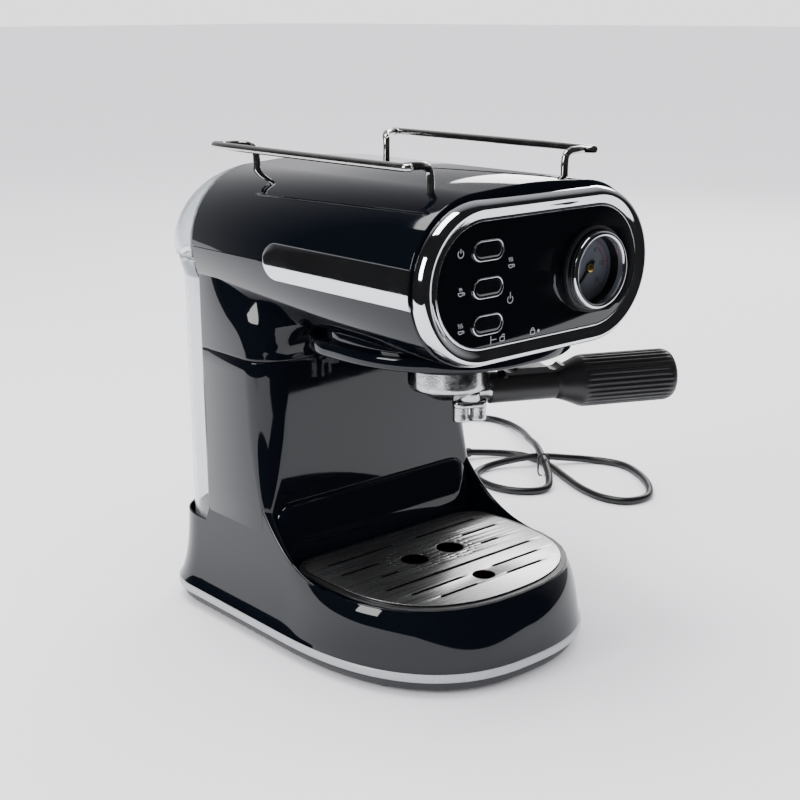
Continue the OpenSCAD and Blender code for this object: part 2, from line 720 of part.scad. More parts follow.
module portafilter_body() color([0.78, 0.79, 0.8]) along_handle() difference() {
    union() {
        translate([0, 0, bowl_bottom]) cylinder(r = bowl_r, h = bowl_top - bowl_bottom, $fn = 96);
        translate([0, 0, 180]) cylinder(r1 = 14, r2 = 26.5, h = bowl_bottom - 180, $fn = 96);
        translate([0, 0, 206]) cylinder(r = 28.8, h = bowl_top - 206, $fn = 96);
        intersection() {
            translate([0, 0, 208.6]) cylinder(r = 32, h = bowl_top - 208.6, $fn = 96);
            for (a = [40, 220]) rotate(a) translate([20, -8, 200]) cube([14, 16, 20]);
        }
        handle_run(16, 29.6, 7.4);
        handle_run(29.6, 60, 4);
        translate([spout_at, 0, 176]) cylinder(r = 7, h = 8);
    }
    translate([0, 0, 189.6]) cylinder(r = 25.4, h = 40);
    translate([0, 0, 179]) cylinder(r = 3, h = 20);
    translate([0, 0, handle_z]) rotate([0, 90, 0]) cylinder(r = 3, h = spout_at);
    translate([spout_at, 0, 170]) cylinder(r = 3, h = 14);
}

module spout_block() color([0.78, 0.79, 0.8]) along_handle() translate([spout_at, 0, 0]) difference() {
    union() {
        translate([0, 0, 171]) linear_extrude(5) stadium(24.4, 12);
        for (s = [-1, 1]) translate([s * 6.3, 0, spout_bottom]) cylinder(r = 5.6, h = 10);
    }
    for (s = [-1, 1]) translate([s * 6.3, 0, spout_bottom - 1]) cylinder(r = 4, h = 11);
    translate([0, 0, 172.6]) linear_extrude(1.8) stadium(18, 6);
    for (s = [-1, 1]) translate([s * 6.3, 0, 170]) cylinder(r = 2.6, h = 4);
    translate([0, 0, 173]) cylinder(r = 3, h = 4);
}

module filter_basket() color([0.8, 0.81, 0.82]) along_handle() difference() {
    union() {
        translate([0, 0, 191]) cylinder(r = 25.1, h = bowl_top - 191, $fn = 96);
        translate([0, 0, bowl_top]) cylinder(r = 28.4, h = 1.2, $fn = 96);
    }
    translate([0, 0, 192]) cylinder(r = 24.3, h = 30);
    for (ring = [[6, 8], [12, 14], [18, 20]]) for (i = [0:ring[1] - 1])
        rotate(i * 360 / ring[1]) translate([ring[0], 0, 190]) cylinder(r = 0.6, h = 3, $fn = 16);
}

module handle_neck() color([0.04, 0.04, 0.04]) along_handle() difference() {
    union() {
        handle_run(29.8, grip_start - 6, neck_r);
        translate([grip_start - 6, 0, handle_z]) rotate([0, 90, 0]) cylinder(r1 = neck_r, r2 = 15, h = 5.8);
        handle_run(grip_start - 6, grip_start + 20, 8);
    }
    handle_run(29, 60.2, 4.03);
    translate([35.5, -6.4, handle_z + 6.6]) cube([48.8, 12.8, 10]);
    translate([40, -8, handle_z + 8.4]) rotate([-90, 0, 0]) cylinder(r = 1.55, h = 16);
}

module handle_grip() color([0.04, 0.04, 0.04]) along_handle() difference() {
    union() {
        handle_run(grip_start, handle_reach - 9, grip_r);
        translate([handle_reach - 9, 0, handle_z]) rotate([0, 90, 0]) cylinder(r1 = grip_r, r2 = 13, h = 9);
    }
    handle_run(grip_start - 1, grip_start + 20.2, 8.03);
    for (i = [0:29]) translate([0, 0, handle_z]) rotate([i * 12, 0, 0]) translate([grip_start + 3, 0, grip_r + 0.4])
        rotate([0, 90, 0]) cylinder(r = 1, h = 56, $fn = 16);
}

// The thumb clip that holds the basket while the puck is knocked out.
module basket_clip() color([0.04, 0.04, 0.04]) along_handle() difference() {
    union() {
        translate([40, -6, handle_z + 7]) cube([43.8, 12, 6.6]);
        translate([40, -7.6, handle_z + 8.4]) rotate([-90, 0, 0]) cylinder(r = 1.5, h = 15.2);
    }
    for (x = [44, 76]) translate([x, -8, handle_z + 18]) rotate([-90, 0, 0]) cylinder(r = 7, h = 16);
}

// ---- mains lead ----

module strain_relief() color([0.03, 0.03, 0.03]) translate([exit_x, 0, exit_z]) rotate([-90, 0, 0]) difference() {
    union() {
        translate([0, 0, base_d - 8]) cylinder(r = 5.9, h = 10);
        translate([0, 0, base_d + 0.6]) cylinder(r1 = 7.6, r2 = 4.8, h = relief_end - base_d - 0.6);
    }
    translate([0, 0, base_d - 10]) cylinder(r = 2, h = 10);
}

module power_cord() color([0.03, 0.03, 0.03]) tube_path(cord_route, cord_r, 2, 8);

module cord_tie() color([0.04, 0.04, 0.04]) translate([tie_at[0], tie_at[1], 0]) rotate(55)
    rotate([90, 0, 90]) translate([0, 0, -1.5]) linear_extrude(3) translate([0, 10.5]) difference() {
        rotate(90) stadium(24, 12);
        rotate(90) stadium(21, 9.4);
        translate([-10, -30]) square([20, 19.6]);
    }

module plug() color([0.03, 0.03, 0.03]) translate([plug_at[0], plug_at[1], 0]) rotate(plug_dir) {
    cylinder(r = 19, h = 16);
    translate([0, 0, 16]) cylinder(r1 = 19, r2 = 17.5, h = 6);
    for (s = [-1, 1]) translate([0, s * 9.5, 22]) {
        cylinder(r = 2.4, h = 17);
        translate([0, 0, 17]) cylinder(r1 = 2.4, r2 = 1.4, h = 1.6);
    }
    translate([12, 0, 7.5]) rotate([0, 90, 0]) cylinder(r1 = 7, r2 = 4.6, h = 32);
}

// Puts the frame's origin on the table, under the middle of the machine.
module placed() {
    translate([-frame_x, -frame_y, 0]) children();
}

placed() base_plate();
placed() base_trim();
placed() rubber_feet();
placed() base_screws();
placed() lower_housing();
placed() upper_housing();
placed() top_cover();
placed() front_bezel();
placed() control_panel();
placed() strip_left();
placed() strip_right();
placed() head_underplate();
placed() cup_rail_left();
placed() cup_rail_right();
placed() rail_nuts();
placed() button_frames();
placed() gauge_case();
placed() gauge_bezel();
placed() gauge_glass();
placed() gauge_dial();
placed() gauge_needle();
placed() button_power();
placed() button_brew();
placed() button_steam();
placed() control_board();
placed() boiler();
placed() thermostats();
placed() group_head();
placed() group_gasket();
placed() shower_screen();
placed() pump();
placed() pump_mounts();
placed() hose_suction();
placed() hose_pressure();
placed() hose_steam();
placed() steam_valve();
placed() steam_knob();
placed() steam_wand();
placed() wand_sleeve();
placed() drain_tube();
placed() drip_tray();
placed() drip_grille();
placed() tray_float();
placed() tank_dock();
placed() water_tank();
placed() tank_lid();
placed() tank_valve();
placed() valve_spring();
placed() portafilter_body();
placed() spout_block();
placed() filter_basket();
placed() handle_neck();
placed() handle_grip();
placed() basket_clip();
placed() strain_relief();
placed() power_cord();
placed() cord_tie();
placed() plug();
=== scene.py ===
"""The looks of an espresso machine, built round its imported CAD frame.

Sizes are in millimetres in the machine's own axes: x = 0 on its middle plane, y = 0 on the face of the
control panel with +Y towards the tank, z = 0 on the table. `placed` turns them into the frame's metres.
"""
import logging
import math
from dataclasses import dataclass, field
from enum import Enum

import bmesh
import bpy
import numpy as np
from mathutils import Matrix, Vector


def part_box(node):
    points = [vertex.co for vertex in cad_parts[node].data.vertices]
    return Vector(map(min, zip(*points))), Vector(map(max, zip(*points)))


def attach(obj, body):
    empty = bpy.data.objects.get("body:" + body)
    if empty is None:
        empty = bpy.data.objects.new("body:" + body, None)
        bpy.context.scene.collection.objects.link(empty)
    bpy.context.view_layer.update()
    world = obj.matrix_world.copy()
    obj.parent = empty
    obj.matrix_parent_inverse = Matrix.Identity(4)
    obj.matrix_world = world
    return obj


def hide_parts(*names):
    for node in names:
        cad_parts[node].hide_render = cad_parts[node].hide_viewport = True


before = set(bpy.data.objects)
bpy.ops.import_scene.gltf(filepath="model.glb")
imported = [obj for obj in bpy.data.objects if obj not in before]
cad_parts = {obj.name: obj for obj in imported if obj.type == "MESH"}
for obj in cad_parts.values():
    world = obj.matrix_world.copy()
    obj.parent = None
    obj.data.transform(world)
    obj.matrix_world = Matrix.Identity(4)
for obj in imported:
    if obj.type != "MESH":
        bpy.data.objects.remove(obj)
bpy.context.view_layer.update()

LOG = logging.getLogger("espresso_machine")
MM = 0.001
TAU = 2 * math.pi
TRIM_CORNER = np.array([-109.0, -2.0])
SHIFT = np.append(TRIM_CORNER - np.array(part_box("base_trim")[0])[:2] / MM, 0.0)


def placed(points: np.ndarray) -> np.ndarray:
    """Turns points in the machine's millimetres into the frame's metres.

    Args:
        points: an array whose last axis is x, y, z in millimetres.
    Returns:
        The same array in metres in the frame.
    """
    return (np.asarray(points, float) - SHIFT) * MM


class Body(Enum):
    """The CAD bodies that the new pieces ride on."""

    HOUSING = "housing"
    NEEDLE = "needle"
    POWER = "power_button"
    BREW = "brew_button"
    STEAM = "steam_button"
    KNOB = "knob"
    WAND = "wand"
    GRILLE = "grille"
    TANK = "tank"
    LID = "lid"
    PORTAFILTER = "portafilter"


# ---- materials ----


def linear(colour: str) -> tuple[float, float, float, float]:
    """Turns an sRGB hex colour into linear red, green, blue and an alpha of 1."""
    parts = [int(colour[i:i + 2], 16) / 255 for i in (1, 3, 5)]
    return tuple(c / 12.92 if c <= 0.04045 else ((c + 0.055) / 1.055) ** 2.4 for c in parts) + (1.0,)


def add(tree: bpy.types.NodeTree, kind: str, settings: dict | None = None, links: dict | None = None):
    """Adds one node with its settings and the links into it.

    Args:
        tree: the node tree to add to.
        kind: the node's type name.
        settings: node properties, or input sockets' values by name or number.
        links: output sockets to link in, by the input's name or number.
    Returns:
        The new node.
    """
    node = tree.nodes.new(kind)
    for key, value in (settings or {}).items():
        if isinstance(key, int) or key in node.inputs:
            node.inputs[key].default_value = value
        else:
            setattr(node, key, value)
    for key, socket in (links or {}).items():
        tree.links.new(socket, node.inputs[key])
    return node


@dataclass(frozen=True)
class Finish:
    """A finish: its colour, gloss and the fine unevenness that the real surface has."""

    name: str
    colour: str
    roughness: float
    metallic: float = 0.0
    coat: float = 0.0
    coat_roughness: float = 0.03
    grain_mm: float = 1.0
    grain: float = 0.0
    patch_mm: float = 30.0
    patch: float = 0.0
    second: str = ""
    fixed: dict = field(default_factory=dict)

    def build(self) -> bpy.types.Material:
        """Makes the material, or gives the one already made."""
        made = bpy.data.materials.get(self.name)
        if made:
            return made
        material = bpy.data.materials.new(self.name)
        material.use_nodes = True
        tree = material.node_tree
        shader = tree.nodes["Principled BSDF"]
        for key, value in {"Base Color": linear(self.colour), "Roughness": self.roughness,
                           "Metallic": self.metallic, "Coat Weight": self.coat,
                           "Coat Roughness": self.coat_roughness, **self.fixed}.items():
            shader.inputs[key].default_value = value
        self.dress(tree, shader)
        return material

    def dress(self, tree: bpy.types.NodeTree, shader: bpy.types.Node) -> None:
        """Adds the patches of gloss and colour, and the grain, to the shader.

        Args:
            tree: the material's node tree.
            shader: its Principled shader.
        """
        place = add(tree, "ShaderNodeTexCoord").outputs["Object"]
        if self.patch:
            cloud = add(tree, "ShaderNodeTexNoise", {"Scale": 1000 / self.patch_mm, "Detail": 4.0},
                        {"Vector": place}).outputs["Fac"]
            least, most = self.roughness * (1 - self.patch), self.roughness * (1 + self.patch)
            gloss = add(tree, "ShaderNodeMapRange", {"From Min": 0.3, "From Max": 0.7, "To Min": least,
                        "To Max": most}, {"Value": cloud}).outputs["Result"]
            tree.links.new(gloss, shader.inputs["Roughness"])
            if self.second:
                mixed = add(tree, "ShaderNodeMix", {"data_type": "RGBA", 6: linear(self.colour),
                            7: linear(self.second)}, {0: cloud}).outputs[2]
                tree.links.new(mixed, shader.inputs["Base Color"])
        if self.grain:
            fine = add(tree, "ShaderNodeTexNoise", {"Scale": 1000 / self.grain_mm, "Detail": 3.0},
                       {"Vector": place}).outputs["Fac"]
            bump = add(tree, "ShaderNodeBump", {"Strength": self.grain, "Distance": 0.1 * MM},
                       {"Height": fine}).outputs["Normal"]
            tree.links.new(bump, shader.inputs["Normal"])


@dataclass(frozen=True)
class Brushed(Finish):
    """Brushed stainless sheet: fine lines along one direction, in colour, gloss and height."""

    line_mm: float = 0.35
    run_mm: float = 60.0

    def dress(self, tree: bpy.types.NodeTree, shader: bpy.types.Node) -> None:
        """Adds the brush lines, which run along X, to the shader.

        Args:
            tree: the material's node tree.
            shader: its Principled shader.
        """
        place = add(tree, "ShaderNodeTexCoord").outputs["Object"]
        scale = (1000 / self.run_mm, 1000 / self.line_mm, 1000 / self.line_mm)
        lines = add(tree, "ShaderNodeMapping", {"Scale": scale}, {"Vector": place}).outputs[0]
        noise = add(tree, "ShaderNodeTexNoise", {"Scale": 1.0, "Detail": 5.0},
                    {"Vector": lines}).outputs["Fac"]
        tone = add(tree, "ShaderNodeMix", {"data_type": "RGBA", 6: linear(self.second or self.colour),
                   7: linear(self.colour)}, {0: noise}).outputs[2]
        gloss = add(tree, "ShaderNodeMapRange", {"From Min": 0.25, "From Max": 0.75,
                    "To Min": self.roughness * 0.75, "To Max": self.roughness * 1.3},
                    {"Value": noise}).outputs["Result"]
        bump = add(tree, "ShaderNodeBump", {"Strength": 0.5, "Distance": 0.02 * MM},
                   {"Height": noise}).outputs["Normal"]
        tree.links.new(tone, shader.inputs["Base Color"])
        tree.links.new(gloss, shader.inputs["Roughness"])
        tree.links.new(bump, shader.inputs["Normal"])


# Injection-moulded black ABS, polished in the mould: a deep mirror with a faint navy cast.
PIANO_BLACK = Finish("piano_black_abs", "#05070C", 0.04, patch=0.35, patch_mm=45, grain=0.04, grain_mm=9,
                     fixed={"IOR": 1.42})
# Back-printed acrylic over the controls: flatter and blacker than the shell.
PANEL_BLACK = Finish("acrylic_panel_black", "#030406", 0.03, patch=0.3, patch_mm=60)
# The buttons' ABS: as black as the panel, a touch softer in its highlights.
BUTTON_BLACK = Finish("button_black_abs", "#050608", 0.06, patch=0.3, patch_mm=6)
# Bright chrome on plastic: near-white mirror, with the slight waviness that plating keeps.
CHROME = Finish("plated_chrome", "#D9DBDF", 0.05, metallic=1.0, patch=0.5, patch_mm=18, grain=0.03,
                grain_mm=7)
# Plated zinc die casting: the plating follows the pores and orange peel of the casting.
CAST_CHROME = Finish("plated_zinc_casting", "#D2D3D4", 0.16, metallic=1.0, patch=0.6, patch_mm=5,
                     second="#8F9092", grain=0.55, grain_mm=1.6)
# Drawn stainless rod, polished: soft lines, a slightly warm grey.
ROD = Finish("polished_stainless_rod", "#B9B8B5", 0.14, metallic=1.0, patch=0.4, patch_mm=12, grain=0.06,
             grain_mm=1.2)
# Pressed stainless: a clean grey sheen, a little uneven where the sheet was drawn.
PRESSED = Finish("pressed_stainless", "#B8B9BB", 0.2, metallic=1.0, patch=0.3, patch_mm=8, grain=0.1,
                 grain_mm=1)
# Brushed stainless sheet: long soft streaks along the slots.
GRILLE_STEEL = Brushed("brushed_stainless_sheet", "#C3C3C3", 0.27, metallic=1.0, second="#8E8E8E")
# Spark-eroded black plastic: an even fine tooth that scatters the light.
SATIN_BLACK = Finish("textured_black_nylon", "#0E0E10", 0.42, patch=0.15, patch_mm=25, grain=0.25,
                     grain_mm=0.7)
# The plinth's unpolished ABS: a dull charcoal under the gloss of the base.
PLINTH_GREY = Finish("charcoal_abs", "#151518", 0.38, patch=0.15, patch_mm=40, grain=0.12, grain_mm=0.9)
# Silver paint under a thin lacquer: a soft even band of light.
TRIM_SILVER = Finish("silver_painted_trim", "#8F9194", 0.3, coat=0.2, patch=0.2, patch_mm=30, grain=0.04,
                     grain_mm=1)
# Moulded rubber: matt, with almost no highlight.
RUBBER = Finish("moulded_rubber", "#0B0B0B", 0.7, patch=0.15, grain=0.3, grain_mm=0.8)
# Bright zinc plate on screws and springs: a cold, slightly cloudy metal.
ZINC = Finish("zinc_plated_steel", "#A9ABAD", 0.32, metallic=1.0, patch=0.4, patch_mm=4, grain=0.15,
              grain_mm=0.8)
# Sand-cast aluminium: pale and grainy.
ALUMINIUM = Finish("sand_cast_aluminium", "#A3A4A6", 0.45, metallic=1.0, patch=0.3, patch_mm=9, grain=0.6,
                   grain_mm=1.4)
# Coated casting: the casting's grain under a dark film.
DARK_CASTING = Finish("coated_aluminium_casting", "#222225", 0.4, metallic=0.6, patch=0.3, patch_mm=9,
                      grain=0.5, grain_mm=1.2)
# Machined brass: warm, with fine tool marks.
BRASS = Finish("machined_brass", "#C2A25A", 0.25, metallic=1.0, patch=0.3, patch_mm=6, grain=0.1,
               grain_mm=0.7)
# Solder mask: a green film with a slight gloss.
BOARD = Finish("solder_mask_green", "#1E5B36", 0.35, patch=0.2, grain=0.1)
# Glass-filled nylon: grey, dry and slightly mottled.
PUMP_GREY = Finish("glass_filled_nylon_grey", "#86888C", 0.55, patch=0.2, grain=0.3, grain_mm=0.8)
# Silicone hose: milky, with light scattered inside it.
HOSE = Finish("milky_silicone", "#D8D9D8", 0.4, patch=0.2, fixed={"Subsurface Weight": 0.3})
# Clear SAN for the tank: thin-walled, water-clear, with a faint grey edge.
TANK_CLEAR = Finish("clear_san", "#E9EDF0", 0.04, patch=0.4, patch_mm=40, grain=0.03, grain_mm=12,
                    fixed={"Transmission Weight": 0.92, "IOR": 1.3})
# The gauge's thin glass: hardly seen, but for a faint shine.
GLASS = Finish("gauge_glass", "#F6F8F9", 0.01, fixed={"Transmission Weight": 1.0, "IOR": 1.15})
# Matt printed dial and its inks.
DIAL = Finish("printed_dial_grey", "#8D909B", 0.5, patch=0.1, patch_mm=6, grain=0.05, grain_mm=0.6)
INK_BLACK = Finish("ink_black", "#16171A", 0.5, patch=0.2, patch_mm=2)
INK_RED = Finish("ink_red", "#A32226", 0.5, patch=0.2, patch_mm=2)
# Pad-printed marks on the panel: a muted grey.
INK_GREY = Finish("pad_print_grey", "#85888E", 0.45, patch=0.2, patch_mm=2)
# Moulded PP and POM: small waxy parts, in red and in white.
FLOAT_RED = Finish("moulded_red_pp", "#C4130F", 0.3, patch=0.2, patch_mm=5, fixed={"Subsurface Weight": 0.1})
VALVE_WHITE = Finish("moulded_white_pom", "#E2E2E0", 0.35, patch=0.2, patch_mm=6)
# Extruded PVC: a soft sheen along the lead.
CORD_PVC = Finish("extruded_black_pvc", "#0C0C0D", 0.36, patch=0.25, patch_mm=15, grain=0.1, grain_mm=1.1)
# The tie's plastic-covered wire: black and dull.
TIE_BLACK = Finish("plastic_covered_wire", "#101011", 0.45, patch=0.2, patch_mm=4)
# Matt sweep paper: a pale, even floor.
STUDIO_PALE = Finish("studio_sweep_paper", "#E4E4E7", 0.9, patch=0.03, patch_mm=400)

NODE_FINISHES: dict[str, Finish] = {
    "rubber_feet": RUBBER, "base_screws": ZINC, "rail_nuts": ZINC, "gauge_case": SATIN_BLACK,
    "gauge_glass": GLASS, "gauge_dial": DIAL, "gauge_needle": INK_BLACK, "control_board": BOARD,
    "boiler": ALUMINIUM, "thermostats": BRASS, "group_head": DARK_CASTING, "group_gasket": RUBBER,
    "shower_screen": PRESSED, "pump": PUMP_GREY, "pump_mounts": RUBBER, "hose_suction": HOSE,
    "hose_pressure": HOSE, "hose_steam": HOSE, "steam_valve": BRASS, "drip_tray": SATIN_BLACK,
    "tray_float": FLOAT_RED, "tank_dock": SATIN_BLACK, "water_tank": TANK_CLEAR, "tank_valve": VALVE_WHITE,
    "valve_spring": ZINC, "filter_basket": PRESSED, "handle_neck": SATIN_BLACK, "basket_clip": SATIN_BLACK,
    "cord_tie": TIE_BLACK,
}


# ---- shapes ----


def catmull(points: np.ndarray, parts: int) -> np.ndarray:
    """Carries a smooth curve through a list of points.

    Each span is the Catmull-Rom cubic of its two ends and their two neighbours.

    Args:
        points: the points, one a row.
        parts: how many steps each span takes.
    Returns:
        The curve's points.
    """
    points = np.asarray(points, float)
    ends = np.vstack([points[:1], points, points[-1:]])
    p0, p1, p2, p3 = (ends[i:len(ends) - 3 + i, None] for i in range(4))
    t = (np.arange(parts) / parts)[None, :, None]
    spans = 0.5 * (2 * p1 + (p2 - p0) * t + (2 * p0 - 5 * p1 + 4 * p2 - p3) * t ** 2
                   + (3 * p1 - p0 - 3 * p2 + p3) * t ** 3)
    return np.vstack([spans.reshape(-1, points.shape[1]), points[-1:]])


def stadium(width: float, height: float, count: int = 48) -> np.ndarray:
    """Gives a stadium outline: half circles of radius height / 2 on a middle of width - height.

    Args:
        width: overall width.
        height: overall height.
        count: how many points it has.
    Returns:
        Its points, going round from the lower right.
    """
    turn = np.linspace(-math.pi / 2, math.pi / 2, count // 2)
    across = height / 2 * np.cos(turn) + (width - height) / 2
    right = np.stack([across, height / 2 * np.sin(turn)], 1)
    return np.vstack([right, -right])


def superoval(half: float, front: float, mid: float, power: float, rear: float, corner: float,
              count: int, centre: float = 110.0) -> np.ndarray:
    """Gives a plan outline: a superellipse in front of y = mid, straight flanks and rounded rear corners.

    The dense outline is read off at even angles about (0, centre), so outlines of one family match point for
    point.

    Args:
        half: half the width.
        front: y of the foremost point.
        mid: y where the superellipse meets the flanks.
        power: the superellipse's power.
        rear: y of the rear edge.
        corner: radius of the rear corners.
        count: how many points it has.
        centre: y of the point that the angles are taken about.
    Returns:
        The outline's points.
    """
    a = np.linspace(math.pi, TAU, 3000)
    oval = np.stack([half * np.sign(np.cos(a)) * np.abs(np.cos(a)) ** (2 / power),
                     mid - (mid - front) * np.abs(np.sin(a)) ** (2 / power)], 1)
    b = np.linspace(0, math.pi / 2, 60)
    right = np.stack([half - corner + corner * np.cos(b), rear - corner + corner * np.sin(b)], 1)
    back = np.linspace(1, -1, 60)[:, None] * [half - corner, 0] + [0, rear]
    left = right[::-1] * [-1, 1]
    flank = np.linspace(0, 1, 60)[:, None]
    right_flank = [half, mid] * (1 - flank) + np.array([half, rear - corner]) * flank
    left_flank = np.array([-half, rear - corner]) * (1 - flank) + np.array([-half, mid]) * flank
    dense = np.vstack([oval, right_flank, right, back, left, left_flank])
    angle = np.arctan2(dense[:, 1] - centre, dense[:, 0])
    order = np.argsort(angle)
    reach = np.hypot(dense[:, 0], dense[:, 1] - centre)[order]
    even = np.linspace(-math.pi, math.pi, count, endpoint=False)
    r = np.interp(even, angle[order], reach, period=TAU)
    return np.stack([r * np.cos(even), centre + r * np.sin(even)], 1)


def base_outline(grow: float, count: int = 480) -> np.ndarray:
    """Gives the base's plan outline, drawn out by grow, as part.scad has it."""
    return superoval(107 + grow, -grow, 145, 2.5, 300 + grow, 45 + grow, count)


def skirt_outline(grow: float, count: int) -> np.ndarray:
    """Gives the skirt's plan outline, which grows squarer in front as it draws in, as part.scad has it."""
    return superoval(107 + grow, -grow, 145 + 2.7 * min(grow, 0), 2.5, 300 + grow, 45 + grow, count)


def grille_outline(grow: float, count: int = 360) -> np.ndarray:
    """Gives the drip grille's plan outline, drawn out by grow, as part.scad has it."""
    return superoval(88 + grow, 16 - grow, 100, 2.4, 150 + grow, 20 + grow, count, 90.0)


def level(outline: np.ndarray, z: float) -> np.ndarray:
    """Stands a plan outline at a height."""
    return np.column_stack([outline, np.full(len(outline), z)])


def upright(outline: np.ndarray, y: float) -> np.ndarray:
    """Stands an (x, z) outline on edge at a depth."""
    return np.column_stack([outline[:, 0], np.full(len(outline), y), outline[:, 1]])


@dataclass
class Shape:
    """A mesh in the making, in the machine's millimetres."""

    points: list[np.ndarray] = field(default_factory=list)
    faces: list[tuple[int, ...]] = field(default_factory=list)
    total: int = 0

    def take(self, points: np.ndarray, faces: np.ndarray | list) -> None:
        """Adds points and the faces on them.

        Args:
            points: the points, one a row.
            faces: rows of indices that count from the first of these points.
        """
        self.faces += [tuple(int(i) + self.total for i in face) for face in faces]
        self.points.append(np.asarray(points, float))
        self.total += len(points)

    def grid(self, rows: np.ndarray, loop: bool = False) -> "Shape":
        """Adds a surface through rings of points: quads between neighbours of neighbouring rings.

        Args:
            rows: an array of rings by points by 3.
            loop: whether the last ring joins the first; if not, flat faces close both ends.
        Returns:
            This shape.
        """
        rings, around = rows.shape[:2]
        i, k = np.meshgrid(np.arange(rings if loop else rings - 1), np.arange(around), indexing="ij")
        j, m = (i + 1) % rings, (k + 1) % around
        quads = np.stack([i * around + k, i * around + m, j * around + m, j * around + k], -1).reshape(-1, 4)
        faces = list(quads)
        if not loop:
            faces += [tuple(range(around))[::-1], tuple(range((rings - 1) * around, rings * around))]
        self.take(rows.reshape(-1, 3), faces)
        return self

    def ribbed(self, radius: np.ndarray, heights: np.ndarray, turn: np.ndarray,
               loop: bool = False) -> "Shape":
        """Adds a form round an axis whose radius may change round it, as ribs and flutes do.

        Args:
            radius: heights by points round, the first point on the first direction of turn.
            heights: the height of each ring along the axis.
            turn: a 3 by 4 array: two directions across the axis, the axis and its foot, as columns.
            loop: whether the last ring joins the first.
        Returns:
            This shape.
        """
        a = np.linspace(0, TAU, radius.shape[1], endpoint=False)
        local = np.stack([radius * np.cos(a), radius * np.sin(a), np.repeat(heights[:, None], len(a), 1),
                          np.ones_like(radius)], -1)
        return self.grid(local @ turn.T, loop)

    def lathe(self, profile: np.ndarray, turn: np.ndarray, around: int = 64, loop: bool = False) -> "Shape":
        """Adds a turned form: the (radius, height) profile carried round an axis.

        Args:
            profile: radii and heights along the axis.
            turn: the axis, as `ribbed` takes it.
            around: how many points each ring has.
            loop: whether the profile closes on itself.
        Returns:
            This shape.
        """
        radius, heights = np.asarray(profile, float).T
        return self.ribbed(np.repeat(radius[:, None], around, 1), heights, turn, loop)

    def tube(self, path: np.ndarray, radius: float | np.ndarray, around: int = 20) -> "Shape":
        """Adds a round rod along a path: a circle across the path's direction at every point.

        Args:
            path: the path's points.
            radius: one radius, or one a point.
            around: how many points each ring has.
        Returns:
            This shape.
        """
        run = np.gradient(path, axis=0)
        run /= np.linalg.norm(run, axis=1, keepdims=True)
        guide = np.where(np.abs(run[:, 2:3]) > 0.9, [[0.0, 1.0, 0.0]], [[0.0, 0.0, 1.0]])
        across = np.cross(run, guide)
        across /= np.linalg.norm(across, axis=1, keepdims=True)
        up = np.cross(across, run)
        a = np.linspace(0, TAU, around, endpoint=False)[None, :, None]
        size = np.broadcast_to(np.asarray(radius, float), len(path))[:, None, None]
        ring = np.cos(a) * across[:, None] + np.sin(a) * up[:, None]
        return self.grid(path[:, None] + size * ring)

    def ribbon(self, line: np.ndarray, width: float, y: float, thick: float = 0.08) -> "Shape":
        """Adds a printed stroke on an upright face: a flat band along a line, a fixed width across it.

        Args:
            line: its (x, z) points.
            width: the stroke's width.
            y: the depth of its back.
            thick: how far it stands towards the front.
        Returns:
            This shape.
        """
        line = np.asarray(line, float)
        run = np.gradient(line, axis=0)
        run /= np.linalg.norm(run, axis=1, keepdims=True)
        side = np.stack([-run[:, 1], run[:, 0]], 1) * width / 2
        rows = np.stack([upright(line + side, y - thick), upright(line - side, y - thick),
                         upright(line - side, y), upright(line + side, y)], 1)
        return self.grid(rows)

    def build(self, name: str, sharp: float = 35.0) -> bpy.types.Object:
        """Makes the object: faces turned outwards, shaded smooth up to an angle.

        Args:
            name: the piece's name.
            sharp: the angle in degrees past which an edge is shaded sharp.
        Returns:
            The new object, at the origin.
        """
        mesh = bpy.data.meshes.new(name)
        mesh.from_pydata(placed(np.vstack(self.points)), [], self.faces)
        return finished(name, mesh, sharp)


def finished(name: str, mesh: bpy.types.Mesh, sharp: float) -> bpy.types.Object:
    """Cleans a mesh, shades it and puts it in the scene.

    Args:
        name: the piece's name.
        mesh: its mesh, in the frame.
        sharp: the angle in degrees past which an edge is shaded sharp.
    Returns:
        The new object.
    """
    work = bmesh.new()
    work.from_mesh(mesh)
    bmesh.ops.remove_doubles(work, verts=work.verts, dist=0.001 * MM)
    bmesh.ops.recalc_face_normals(work, faces=work.faces)
    work.to_mesh(mesh)
    work.free()
    mesh.shade_smooth()
    mesh.set_sharp_from_angle(angle=math.radians(sharp))
    piece = bpy.data.objects.new(name, mesh)
    bpy.context.scene.collection.objects.link(piece)
    return piece


def meshed(curve: bpy.types.Curve) -> tuple[bpy.types.Mesh, np.ndarray]:
    """Turns a flat curve or text into a mesh.

    Args:
        curve: the curve or text.
    Returns:
        The mesh and its points' three coordinates, as rows.
    """
    holder = bpy.data.objects.new(curve.name + "_flat", curve)
    bpy.context.scene.collection.objects.link(holder)
    graph = bpy.context.evaluated_depsgraph_get()
    mesh = bpy.data.meshes.new_from_object(holder.evaluated_get(graph))
    bpy.data.objects.remove(holder)
    points = np.empty(len(mesh.vertices) * 3)
    mesh.vertices.foreach_get("co", points)
    return mesh, points.reshape(-1, 3).T


